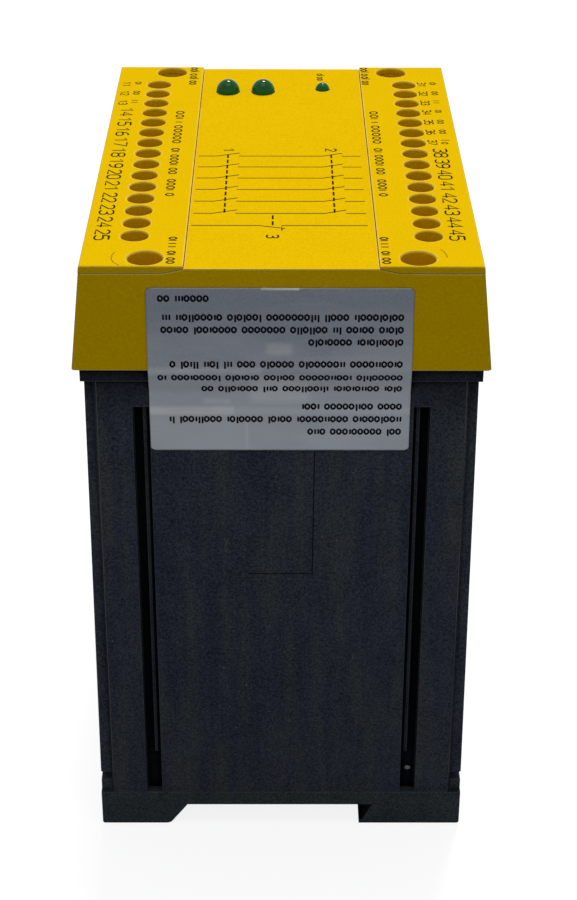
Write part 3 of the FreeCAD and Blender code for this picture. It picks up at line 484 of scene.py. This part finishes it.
def settled(holder):
    """The mesh that a piece's modifiers give, and the piece itself is taken away."""
    evaluated = holder.evaluated_get(bpy.context.evaluated_depsgraph_get())
    mesh = bpy.data.meshes.new_from_object(evaluated)
    bpy.data.objects.remove(holder)
    return mesh


def grown(name, tree, **sizes):
    """Runs a geometry tree with its named sizes and keeps the result as a plain piece."""
    holder = keep_mesh(name, bpy.data.meshes.new(name))
    modifier = holder.modifiers.new(name, "NODES")
    modifier.node_group = tree
    for item in tree.interface.items_tree:
        if item.in_out == "INPUT":
            modifier[item.identifier] = sizes[item.name]
    return keep_mesh(name, settled(holder))


def slotted_screw(radius, shank, seat, length):
    """One screw with its tip at the origin: a bevelled head from seat up, on a plain shank."""
    rim, slot_half, slot_depth = 0.25 * MM, 0.3 * MM, 0.8 * MM
    profile = [
        (shank * 0.7, 0.0), (shank, rim), (shank, seat), (radius - rim / 2, seat),
        (radius, seat + rim / 2), (radius, length - rim), (radius - rim, length),
    ]
    screw = keep_mesh("screw_pattern", mesh_from("screw_pattern", lathe(profile, 20)))
    low = (-2 * radius, -slot_half, length - slot_depth)
    slot = box_shape(low, (2 * radius, slot_half, length + rim))
    cutter = keep_mesh("slot_pattern", mesh_from("slot_pattern", slot))
    cut = screw.modifiers.new("slot", "BOOLEAN")
    cut.object = cutter
    cut.operation = "DIFFERENCE"
    mesh = settled(screw)
    bpy.data.objects.remove(cutter)
    return keep_mesh("screw_pattern", mesh)


def ways(side):
    """A strip's row of screws: the first one's middle, the step to the next, and the radius."""
    low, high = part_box(side + "_clamp_screws")
    radius = (high.x - low.x) / 2
    step = (high.y - low.y - 2 * radius) / (WAYS - 1)
    return Vector(((low.x + high.x) / 2, low.y + radius, low.z)), step, radius


WAYS = 15
SHANK_RADIUS, HEAD_HEIGHT = 1.4 * MM, 1.8 * MM
row_of_pieces = row_tree()
for side in ("left", "right"):
    first, pitch, radius = ways(side)
    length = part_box(side + "_clamp_screws")[1].z - first.z
    pattern = slotted_screw(radius, SHANK_RADIUS, length - HEAD_HEIGHT, length)
    screws = grown(
        side + "_screws", row_of_pieces, Piece=pattern, Count=WAYS, First=first,
        Step=(0.0, pitch, 0.0), Turn=math.pi, Seed=4, Finish=zinc,
    )
    bpy.data.objects.remove(pattern)
    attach(screws, side + "_strip")
    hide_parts(side + "_clamp_screws")


# Print on the strips
# Each way has a plain number beside its well, and a line of rings and ticks runs along the
# inside. All of it is thin dark ink, stamped on the moulding after it has cooled.
def ink_finish(name, colour):
    """Thin matt ink that the plastic's grain still shows through."""
    fixed = {"Specular IOR Level": 0.02, "Roughness": 0.7}
    material, tree, shader, place = new_finish(name, fixed)
    gaps = spread(tree, clouds(tree, place, scale=5200.0), 0.35, 0.7)
    mixed = blend(tree, gaps, colour, [1.5 * c for c in colour])
    tree.links.new(mixed, shader.inputs["Base Color"])
    relief(tree, shader, gaps, 0.004 * MM)
    return material


dark_ink = ink_finish("dark_ink", (0.018, 0.012, 0.002))
INK = 0.02 * MM
DIGIT_WIDTH, DIGIT_STEP = 0.56, 0.71
DIGITS = {
    "0": [[(0.0, 0.2), (0.0, 0.8), (0.1, 0.95), (0.27, 1.0), (0.44, 0.95), (0.54, 0.8),
           (0.54, 0.2), (0.44, 0.05), (0.27, 0.0), (0.1, 0.05), (0.0, 0.2)]],
    "1": [[(0.08, 0.74), (0.34, 1.0), (0.34, 0.0)]],
    "2": [[(0.0, 0.8), (0.1, 0.95), (0.27, 1.0), (0.44, 0.95), (0.54, 0.8), (0.5, 0.58),
           (0.0, 0.0), (0.56, 0.0)]],
    "3": [[(0.0, 0.9), (0.16, 1.0), (0.4, 1.0), (0.54, 0.86), (0.54, 0.66), (0.4, 0.53),
           (0.2, 0.53)], [(0.4, 0.53), (0.54, 0.4), (0.54, 0.14), (0.4, 0.0), (0.14, 0.0),
                          (0.0, 0.1)]],
    "4": [[(0.42, 0.0), (0.42, 1.0), (0.0, 0.3), (0.58, 0.3)]],
    "5": [[(0.52, 1.0), (0.06, 1.0), (0.0, 0.54), (0.16, 0.6), (0.38, 0.6), (0.54, 0.46),
           (0.54, 0.15), (0.4, 0.0), (0.14, 0.0), (0.0, 0.1)]],
    "6": [[(0.48, 0.96), (0.28, 0.98), (0.08, 0.78), (0.0, 0.45), (0.0, 0.18), (0.12, 0.02),
           (0.42, 0.02), (0.54, 0.17), (0.54, 0.4), (0.42, 0.55), (0.14, 0.55), (0.0, 0.42)]],
    "7": [[(0.0, 1.0), (0.56, 1.0), (0.2, 0.0)]],
    "8": [[(0.14, 0.53), (0.0, 0.67), (0.0, 0.86), (0.14, 1.0), (0.4, 1.0), (0.54, 0.86),
           (0.54, 0.67), (0.4, 0.53), (0.14, 0.53), (0.0, 0.38), (0.0, 0.14), (0.14, 0.0),
           (0.4, 0.0), (0.54, 0.14), (0.54, 0.38), (0.4, 0.53)]],
    "9": [[(0.06, 0.02), (0.26, 0.02), (0.46, 0.22), (0.54, 0.55), (0.54, 0.82), (0.42, 0.98),
           (0.12, 0.98), (0.0, 0.83), (0.0, 0.6), (0.12, 0.45), (0.4, 0.45), (0.54, 0.58)]],
}


def stroke(shape, path, width, lay):
    """A closed ribbon of ink along a path; lay turns (along, up, rise) into a place."""
    sharpest = 0.6
    spots = [Vector(spot) for spot in path]
    edges = []
    for i, spot in enumerate(spots):
        before = spots[max(i - 1, 0)]
        after = spots[min(i + 1, len(spots) - 1)]
        way = (after - before).normalized()
        leg = after - spot if i + 1 < len(spots) else spot - before
        ease = max(sharpest, abs(way.dot(leg.normalized())))
        across = Vector((-way.y, way.x)) * width / 2 / ease
        edges.append((spot + across, spot - across))
    rings = []
    for left, right in edges:
        corners = ((left, -INK / 2), (right, -INK / 2), (right, INK), (left, INK))
        rings.append([shape.verts.new(lay(spot.x, spot.y, rise)) for spot, rise in corners])
    closed_loft(shape, rings)


def number(shape, text, height, width, centre, lay, spacing=1.25):
    """Digits side by side, centred on a place along and up."""
    across = height * spacing
    start = centre[0] - across * (DIGIT_STEP * (len(text) - 1) + DIGIT_WIDTH) / 2
    for i, digit in enumerate(text):
        left = start + DIGIT_STEP * i * across
        for path in DIGITS[digit]:
            spots = [(left + u * across, centre[1] + (v - 0.5) * height) for u, v in path]
            stroke(shape, spots, width, lay)


def ring_path(left, right, low, high, cut):
    """An upright ring with its corners cut off, as a path that closes."""
    return [
        (left + cut, low), (right - cut, low), (right, low + cut), (right, high - cut),
        (right - cut, high), (left + cut, high), (left, high - cut), (left, low + cut),
        (left + cut, low),
    ]


def filler(shape, start, end, base, size, width, lay, seed, marks=None):
    """Rings and ticks, which stand where words would and say nothing.

    They fill the way from start to end in groups of random length, or as one row of so many
    marks evenly spaced.
    """
    draw = random.Random(seed)
    step = size * 1.12 if marks is None else (end - start) / marks
    last = end - step * 0.6
    at = start
    while at < last:
        for _ in range(marks or draw.randint(3, 10)):
            if at > last:
                break
            ring = draw.random() < 0.6
            if ring:
                path = ring_path(at, at + step * 0.64, base, base + size, size * 0.28)
            else:
                path = [(at, base), (at, base + size * draw.choice((1.0, 1.4)))]
            stroke(shape, path, width, lay)
            at += step if ring or marks else step * 0.5
        at += step * 0.7


def ink_piece(name, shape, material, body):
    """Finishes a print's mesh and lets it ride with the part it is printed on."""
    bmesh.ops.recalc_face_normals(shape, faces=shape.faces)
    piece = keep_mesh(name, mesh_from(name, shape), material)
    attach(piece, body)


# Along Y in millimetres: where each group of the inner line starts and ends, with its count of
# marks, and where the notes beside the lever holes start.
LINE_GROUPS = ((-25.4, -5.8, 9), (-3.4, 11.2, 8), (13.6, 22.6, 5))
NOTE_STARTS = (-54.4, -48.2, 42.0, 48.4)
NOTE_LENGTH = 5.8
# For each strip: the first number, the number's place outside the wells, how many of the
# numbers are small, and the places across of the line and of the near and far notes.
STRIP_PRINT = (
    ("left", 11, -5.9, 3, -22.0, -20.3, -20.1),
    ("right", 31, 5.1, 7, 18.6, 17.8, 17.6),
)
for side, first_number, outside, small_rows, line_x, near_x, far_x in STRIP_PRINT:
    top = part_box(side + "_strip_housing")[1].z
    first, pitch, _ = ways(side)

    def on_top(along, up, rise):
        """Print on the top reads towards the near end, with its heads to +X."""
        return Vector((up, -along, top + rise))

    shape = bmesh.new()
    number_x = first.x + outside * MM
    for i in range(WAYS):
        middle = -(first.y + (WAYS - 1 - i) * pitch + 0.3 * MM)
        text = str(first_number + i)
        if i < small_rows:
            number(shape, text, 1.7 * MM, 0.26 * MM, (middle, number_x - 1.2 * MM), on_top)
            filler(
                shape, middle - 1.3 * MM, middle + 1.3 * MM, number_x + 0.6 * MM,
                1.3 * MM, 0.24 * MM, on_top, 40 + i, 2,
            )
        else:
            number(shape, text, 2.6 * MM, 0.34 * MM, (middle, number_x), on_top, 1.42)
    for i, (start, end, marks) in enumerate(LINE_GROUPS):
        filler(shape, start * MM, end * MM, line_x * MM, 1.45 * MM, 0.32 * MM, on_top, 7 + i, marks)
    for i, (start, note_x) in enumerate(zip(NOTE_STARTS, (far_x, far_x, near_x, near_x))):
        end = (start + NOTE_LENGTH) * MM
        filler(shape, start * MM, end, note_x * MM, 1.35 * MM, 0.32 * MM, on_top, 11 + i, 4)
    ink_piece(side + "_strip_print", shape, dark_ink, side + "_strip")


# Front cap and its lights
# The cap is one yellow moulding that snaps on the tub's rim. The contact diagram on its
# panel is printed in the same ink; three green lamps stand up through it from their board.
cap_yellow = moulded("cap_yellow", **yellow_plastic)
paint(cap_yellow, "front_cap")
panel_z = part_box("front_cap")[1].z


def on_panel(along, up, rise):
    """The panel's print is laid out as seen from the near end: X across, Y away."""
    return Vector((along, up, panel_z + rise))


def panel_line(shape, *spots, width=0.27 * MM):
    """One thin line of the diagram, through places in millimetres."""
    stroke(shape, [(x * MM, y * MM) for x, y in spots], width, on_panel)


def dashes(shape, x, start, end):
    """A dashed link between switches, towards the near end."""
    dash, gap = 1.9, 0.95
    while start - dash > end - gap:
        panel_line(shape, (x, start), (x, start - dash), width=0.36 * MM)
        start -= dash + gap


shape = bmesh.new()
FIRST_ROW, ROW_STEP, ROWS = 0.45, 5.98, 6
for row in range(ROWS):
    y = FIRST_ROW - ROW_STEP * row
    panel_line(shape, (-16.5, y), (-12.85, y), (-8.35, y + 1.72))
    panel_line(shape, (-8.6, y), (8.0, y), (12.1, y + 1.65))
    panel_line(shape, (12.0, y), (15.75, y))
panel_line(shape, (-16.65, -35.3), (-4.2, -35.3), (0.6, -36.7))
panel_line(shape, (0.04, -37.65), (0.04, -35.3), (15.85, -35.3))
dashes(shape, -10.7, 1.3, -29.2)
dashes(shape, 9.9, 1.3, -29.2)
dashes(shape, -1.66, -30.4, -36.0)


def on_panel_read(along, up, rise):
    """Numbers on the panel read towards the near end, with their heads to +X."""
    return Vector((up, -along, panel_z + rise))


for text, x, y in (("1", -10.6, 3.9), ("2", 9.9, 3.9), ("3", -1.66, -40.4)):
    number(shape, text, 2.1 * MM, 0.34 * MM, (-y * MM, x * MM), on_panel_read)
filler(shape, -51.6 * MM, -46.2 * MM, 7.8 * MM, 1.2 * MM, 0.24 * MM, on_panel_read, 21, 5)
ink_piece("panel_print", shape, dark_ink, "housing")

green, tree, shader, place = new_finish("green_lens", {
    "Roughness": 0.12, "Specular IOR Level": 0.14, "Coat Weight": 0.04, "Coat Roughness": 0.05,
})
lamp_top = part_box("led_channel_one")[1].z
# The lens is painted a brighter green low down and a darker green towards its top: painted shading
# of how light passes through it.
murk = clouds(tree, place, scale=700.0)
glow = blend(tree, murk, (0.003, 0.115, 0.016), (0.006, 0.185, 0.022))
depth = spread(tree, height_of(tree, place), panel_z, lamp_top)
tree.links.new(blend(tree, depth, glow, (0.003, 0.060, 0.010)), shader.inputs["Base Color"])
paint(green, "led_channel_one", "led_channel_two", "led_power")


# Foil label
# A thin metallised label stuck over the joint at the near end. It has been creased by the
# step under the skirt and lifted into small wrinkles; its lower half is painted lighter and its
# creases carry painted highlights, as if they caught the light.
label_low, label_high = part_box("foil_label")
wall_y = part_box("base_plate")[0].y - 0.17 * MM
fold_z = skirt_z - 5.1 * MM
SKIRT_HEIGHT, SKIRT_LEAN = 20.0 * MM, 0.8 * MM
FOIL, BACKING = 0.06 * MM, 0.03 * MM


def fold_line(distance, depth, half_width):
    """How far a pressed line sinks, at a distance from its middle."""
    return depth * MM * math.exp(-(distance / (half_width * MM)) ** 2)


def foil_y(x, z):
    """How far out the foil's face is: flat on the skirt, slanting over the step, then flat."""
    if z > skirt_z:
        flat = label_low.y + SKIRT_LEAN * (z - skirt_z) / SKIRT_HEIGHT
    elif z > fold_z:
        flat = label_low.y + (skirt_z - z) / (skirt_z - fold_z) * (wall_y - label_low.y)
    else:
        flat = wall_y
    ripple = 0.018 * MM * math.sin(x * 900 + 3 * math.sin(z * 500)) * math.sin(z * 700 + x * 210)
    crease = fold_line(z - fold_z + 1.5 * MM, 0.05, 0.6)
    if z < fold_z:
        crease += fold_line(x + 7.5 * MM, 0.035, 0.5)
    crease += fold_line(x - 4.8 * MM - (z - 100 * MM) * 0.06, 0.03, 0.6)
    return flat + BACKING + ripple - crease


def corner_in(z):
    """How far the label's side is drawn in at its rounded corners."""
    radius = 0.8 * MM
    near = min(z - label_low.z, label_high.z - z)
    if near >= radius:
        return 0.0
    return radius - math.sqrt(max(radius ** 2 - (radius - near) ** 2, 0.0))


def window(tree, value, low, high, soft):
    """1 where value lies between low and high, with soft ends; all in millimetres."""
    rise = spread(tree, value, (low - soft) * MM, low * MM)
    fall = spread(tree, value, high * MM, (high + soft) * MM, 1.0, 0.0)
    return sum_of(tree, "MULTIPLY", rise, fall)


foil, tree, shader, place = new_finish("label_foil", {
    "Metallic": 0.75, "Specular IOR Level": 0.4,
})
across, _, up = add(tree, "ShaderNodeSeparateXYZ", {"Vector": place}).outputs
haze = clouds(tree, stretched(tree, place, (1, 1, 3)), scale=60.0, detail=4.0, rough=0.6)
speck = clouds(tree, place, scale=4200.0)
# The foil is painted darker towards its top and lighter low down: painted shading, as if its lower
# half caught the light.
depth = sum_of(tree, "ADD", spread(tree, up, label_high.z, label_low.z), haze)
tone = blend(tree, spread(tree, depth, 0.6, 1.25), (0.110, 0.128, 0.155), (0.225, 0.250, 0.280))
# Painted highlights where the creases would catch the light, in millimetres: left, right, bottom,
# top, how soft, how bright.
CREASE_HIGHLIGHTS = (
    (-24.0, -4.0, 104.5, 105.1, 0.8, 0.40), (-24.0, -9.0, 95.7, 96.6, 0.7, 0.40),
    (-24.0, 24.0, 95.8, 96.3, 0.8, 0.16), (-2.2, 1.4, 108.7, 110.0, 1.0, 0.26),
    (-5.0, 4.4, 98.6, 103.0, 1.4, 0.24), (-6.4, -6.3, 87.0, 94.6, 0.35, 0.28),
    (-3.6, 3.0, 120.7, 121.0, 0.2, 0.90), (-14.0, -9.6, 98.0, 98.3, 0.6, 0.25),
    (-24.0, -7.0, 87.0, 94.0, 1.5, 0.05), (-23.0, 23.0, 120.85, 121.0, 0.1, 0.30),
)
for left, right, bottom, top, soft, bright in CREASE_HIGHLIGHTS:
    wide, high = window(tree, across, left, right, soft), window(tree, up, bottom, top, soft)
    spot = sum_of(tree, "MULTIPLY", wide, high)
    uneven = sum_of(tree, "MULTIPLY", spot, spread(tree, haze, 0.35, 0.6, 0.3 * bright, bright))
    tone = blend(tree, uneven, tone, (0.46, 0.48, 0.48))
tone = blend(tree, spread(tree, speck, 0.3, 0.8, 0.0, 0.25), tone, (0.30, 0.31, 0.33))
tree.links.new(tone, shader.inputs["Base Color"])
tree.links.new(spread(tree, haze, 0.3, 0.7, 0.42, 0.58), shader.inputs["Roughness"])
relief(tree, shader, speck, 0.004 * MM)
COLUMNS, ROWS_DOWN = 120, 96
shape = bmesh.new()
faces_of_sheet = []
for layer in (0.0, FOIL):
    grid = []
    for j in range(ROWS_DOWN + 1):
        z = label_low.z + (label_high.z - label_low.z) * j / ROWS_DOWN
        left = label_low.x + corner_in(z)
        right = label_high.x - corner_in(z)
        spots = [left + (right - left) * i / COLUMNS for i in range(COLUMNS + 1)]
        grid.append([shape.verts.new((x, foil_y(x, z) + layer, z)) for x in spots])
    faces_of_sheet.append(grid)
outer, inner = faces_of_sheet
for grid in (outer, inner):
    for j in range(ROWS_DOWN):
        for i in range(COLUMNS):
            shape.faces.new((grid[j][i], grid[j][i + 1], grid[j + 1][i + 1], grid[j + 1][i]))
for i in (0, COLUMNS):
    for j in range(ROWS_DOWN):
        shape.faces.new((outer[j][i], outer[j + 1][i], inner[j + 1][i], inner[j][i]))
for j in (0, ROWS_DOWN):
    for i in range(COLUMNS):
        shape.faces.new((outer[j][i], outer[j][i + 1], inner[j][i + 1], inner[j][i]))
bmesh.ops.recalc_face_normals(shape, faces=shape.faces)
for face in shape.faces:
    face.smooth = True
label = keep_mesh("label_sheet", mesh_from("label_sheet", shape), foil)
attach(label, "housing")
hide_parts("foil_label")

label_ink = ink_finish("label_ink", (0.005, 0.005, 0.007))


def on_label(along, up, rise):
    """The label was stuck on upside down: its print reads towards -X, heads down."""
    x, z = label_high.x - along, label_high.z - up
    return Vector((x, foil_y(x, z) - rise, z))


# Rows of small print in millimetres: how far down the label, where each starts and ends.
PRINT_ROWS = (
    (2.0, 36.5, 45.8), (5.6, 1.9, 45.6), (8.0, 1.9, 45.7), (10.4, 1.9, 19.3), (14.7, 1.9, 43.8),
    (17.6, 1.8, 45.6), (20.2, 1.8, 38.4), (24.0, 1.7, 20.6), (26.6, 1.7, 44.8), (29.2, 1.7, 18.8),
)
shape = bmesh.new()
for i, (down, start, end) in enumerate(PRINT_ROWS):
    base = (down - 0.5) * MM
    filler(shape, start * MM, end * MM, base, 1.0 * MM, 0.35 * MM, on_label, 60 + i)
ink_piece("label_print", shape, label_ink, "housing")


# Wear, dust and painted highlights
# A hairline is left where an insert met the mould. A screwdriver has scratched the strips
# beside the lever holes, handling has nicked the tub, and some dust has stayed on it. Two
# long pale lines up the tub's side edges are a painted highlight.
end_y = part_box("base_plate")[0].y


def on_end(along, up, rise):
    """Marks on the near end, wherever the tub's surface is, and they rise towards -Y."""
    start = Vector((along, end_y - 5 * MM, up))
    hit, spot, _, _ = nodes["housing_body"].ray_cast(start, Vector((0, 1, 0)))
    return Vector((along, (spot.y if hit else end_y) - rise, up))


def scatter_tree():
    """The tree that drops specks at random on an area, each turned and sized its own way."""
    tree, given = shape_tree("scattered_specks", Area="Object", Density="Float", Size="Float")
    area = add(tree, "GeometryNodeObjectInfo", {"Object": given["Area"]}).outputs["Geometry"]
    inputs = {"Mesh": area, "Density": given["Density"], "Seed": given["Seed"]}
    points = add(tree, "GeometryNodeDistributePointsOnFaces", inputs)
    grain = add(tree, "GeometryNodeMeshIcoSphere", {"Radius": given["Size"], "Subdivisions": 1})
    low, high = (0.3, 0.3, 0.15), (1.4, 1.0, 0.25)
    size = add(tree, "FunctionNodeRandomValue", {0: low, 1: high}, data_type="FLOAT_VECTOR")
    inputs = {
        "Points": points.outputs["Points"], "Instance": grain.outputs["Mesh"],
        "Rotation": points.outputs["Rotation"], "Scale": size.outputs[0],
    }
    placed = add(tree, "GeometryNodeInstanceOnPoints", inputs).outputs["Instances"]
    return made_real(tree, given, placed)


def patch(corners):
    """One flat face to drop specks on."""
    shape = bmesh.new()
    shape.faces.new([shape.verts.new(corner) for corner in corners])
    return keep_mesh("speck_area", mesh_from("speck_area", shape))


hairline = ink_finish("mould_hairline", (0.004, 0.005, 0.007))
shape = bmesh.new()
for path in ([(-6.3, 60.8), (6.0, 60.8)], [(5.9, 60.8), (6.1, 87.5)]):
    stroke(shape, [(x * MM, z * MM) for x, z in path], 0.16 * MM, on_end)
ink_piece("mould_hairline", shape, hairline, "housing")

pale_scratch_and_highlight = ink_finish("pale_scratch_and_highlight", (0.10, 0.108, 0.118))
shape = bmesh.new()
NICKS = (
    [(33.0, 92.5), (34.0, 93.4)], [(-33.0, 44.9), (-32.8, 45.5)], [(-31.5, 20.0), (-31.3, 21.2)],
    [(14.0, 41.0), (14.1, 42.0)], [(-10.5, 67.0), (-10.2, 68.4)],
)
for path in NICKS:
    stroke(shape, [(x * MM, z * MM) for x, z in path], 0.2 * MM, on_end)
# These two long pale lines up the side edges are a painted highlight, drawn like the nicks.
for way in (-1, 1):
    spots = [(way * x * MM, z * MM) for x, z in ((34.0, 13.0), (33.9, 60.0), (33.65, 102.0))]
    stroke(shape, spots, 0.14 * MM, on_end)
ink_piece("housing_nicks", shape, pale_scratch_and_highlight, "housing")

brown_scratch = ink_finish("brown_scratch", (0.24, 0.13, 0.004))
for side, path in (
    ("left", [(-29.7, -48.8), (-30.1, -50.2), (-30.1, -51.8), (-29.6, -53.4), (-28.5, -55.0)]),
    ("right", [(28.3, -47.4), (28.9, -48.5), (29.2, -49.8), (29.3, -51.0)]),
):
    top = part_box(side + "_strip_housing")[1].z
    shape = bmesh.new()
    stroke(
        shape, [(x * MM, max(y, -54.6) * MM) for x, y in path], 0.16 * MM,
        lambda along, up, rise: Vector((along, up, top + rise)),
    )
    ink_piece(side + "_strip_scratch", shape, brown_scratch, side + "_strip")

dust = ink_finish("dust", (0.30, 0.30, 0.29))
scattered_specks = scatter_tree()
wall_x, wall_low, wall_high = 17.0 * MM, 13.0 * MM, 86.0 * MM
area = patch([
    (-wall_x, end_y, wall_low), (wall_x, end_y, wall_low),
    (wall_x, end_y, wall_high), (-wall_x, end_y, wall_high),
])
specks = grown(
    "housing_dust", scattered_specks, Area=area, Density=3.0e4, Size=0.11 * MM, Seed=5,
    Finish=dust,
)
bpy.data.objects.remove(area)
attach(specks, "housing")
shape = bmesh.new()
spot = Matrix.Translation(on_end(25.7 * MM, 13.0 * MM, 0.1 * MM))
lint_size = Matrix.Diagonal((0.65 * MM, 0.3 * MM, 0.5 * MM, 1))
bmesh.ops.create_icosphere(shape, subdivisions=2, radius=1.0, matrix=spot @ lint_size)
ink_piece("housing_lint", shape, dust, "housing")


# Room
# A plain pale floor, a broad lamp far off above and behind, a small soft one over the top,
# and a little even light from all round, as in a light tent.
def seen(tree):
    """1 where the eye, a mirror or glass looks, and 0 where light is only passed on."""
    path = add(tree, "ShaderNodeLightPath").outputs
    share = sum_of(tree, "MAXIMUM", path["Is Camera Ray"], path["Is Glossy Ray"])
    return sum_of(tree, "MAXIMUM", share, path["Is Transmission Ray"])


floor_paint = bpy.data.materials.new("floor_paint")
floor_paint.use_nodes = True
tree = floor_paint.node_tree
tree.nodes.clear()
matt = add(tree, "ShaderNodeBsdfDiffuse", {"Color": (0.24, 0.24, 0.25, 1)}).outputs["BSDF"]
glow = add(tree, "ShaderNodeEmission", {"Color": (1, 1, 1, 1)})
tree.links.new(sum_of(tree, "MULTIPLY", seen(tree), 0.86), glow.inputs["Strength"])
both = add(tree, "ShaderNodeAddShader", {0: matt, 1: glow.outputs["Emission"]}).outputs["Shader"]
add(tree, "ShaderNodeOutputMaterial", {"Surface": both})
shape = bmesh.new()
bmesh.ops.create_grid(shape, x_segments=1, y_segments=1, size=4.0)
floor = keep_mesh("floor", mesh_from("floor", shape), floor_paint)

world = bpy.data.worlds.new("room")
bpy.context.scene.world = world
world.use_nodes = True
tree = world.node_tree
sky = tree.nodes["Background"]
sky.inputs["Color"].default_value = (1, 1, 1, 1)
tree.links.new(spread(tree, seen(tree), 0.0, 1.0, 0.268, 1.0), sky.inputs["Strength"])


middle = Vector((0, 0, (cad_box[0].z + cad_box[1].z) / 2))


def lamp(name, kind, place, **settings):
    """A lamp at a place in metres, turned to the middle of the relay."""
    light = bpy.data.lights.new(name, kind)
    for key, value in settings.items():
        setattr(light, key, value)
    holder = bpy.data.objects.new(name, light)
    bpy.context.scene.collection.objects.link(holder)
    turn = (middle - Vector(place)).to_track_quat("-Z", "Y").to_matrix().to_4x4()
    holder.matrix_world = Matrix.Translation(place) @ turn


lamp("key", "SUN", (0.1, 0.8, 1.3), energy=2.38, angle=math.radians(14))
lamp("soft", "AREA", (0.0, -0.1, 1.0), energy=2.0, size=0.5)

PAN, TILT_DOWN, ROLL = -0.285, 29.093, 0.197
camera = bpy.data.objects.new("camera", bpy.data.cameras.new("camera"))
bpy.context.scene.collection.objects.link(camera)
camera.data.lens = 79.4
camera.data.sensor_width = 36.0
camera.data.clip_start = 0.01
camera.data.clip_end = 20.0
camera.matrix_world = Matrix.Translation((-0.00029, -0.37430, 0.26591))
for angle, axis in ((PAN, "Z"), (90.0 - TILT_DOWN, "X"), (ROLL, "Z")):
    camera.matrix_world = camera.matrix_world @ Matrix.Rotation(math.radians(angle), 4, axis)
bpy.context.scene.camera = camera
bpy.context.scene.view_settings.view_transform = "Standard"

bpy.context.view_layer.update()
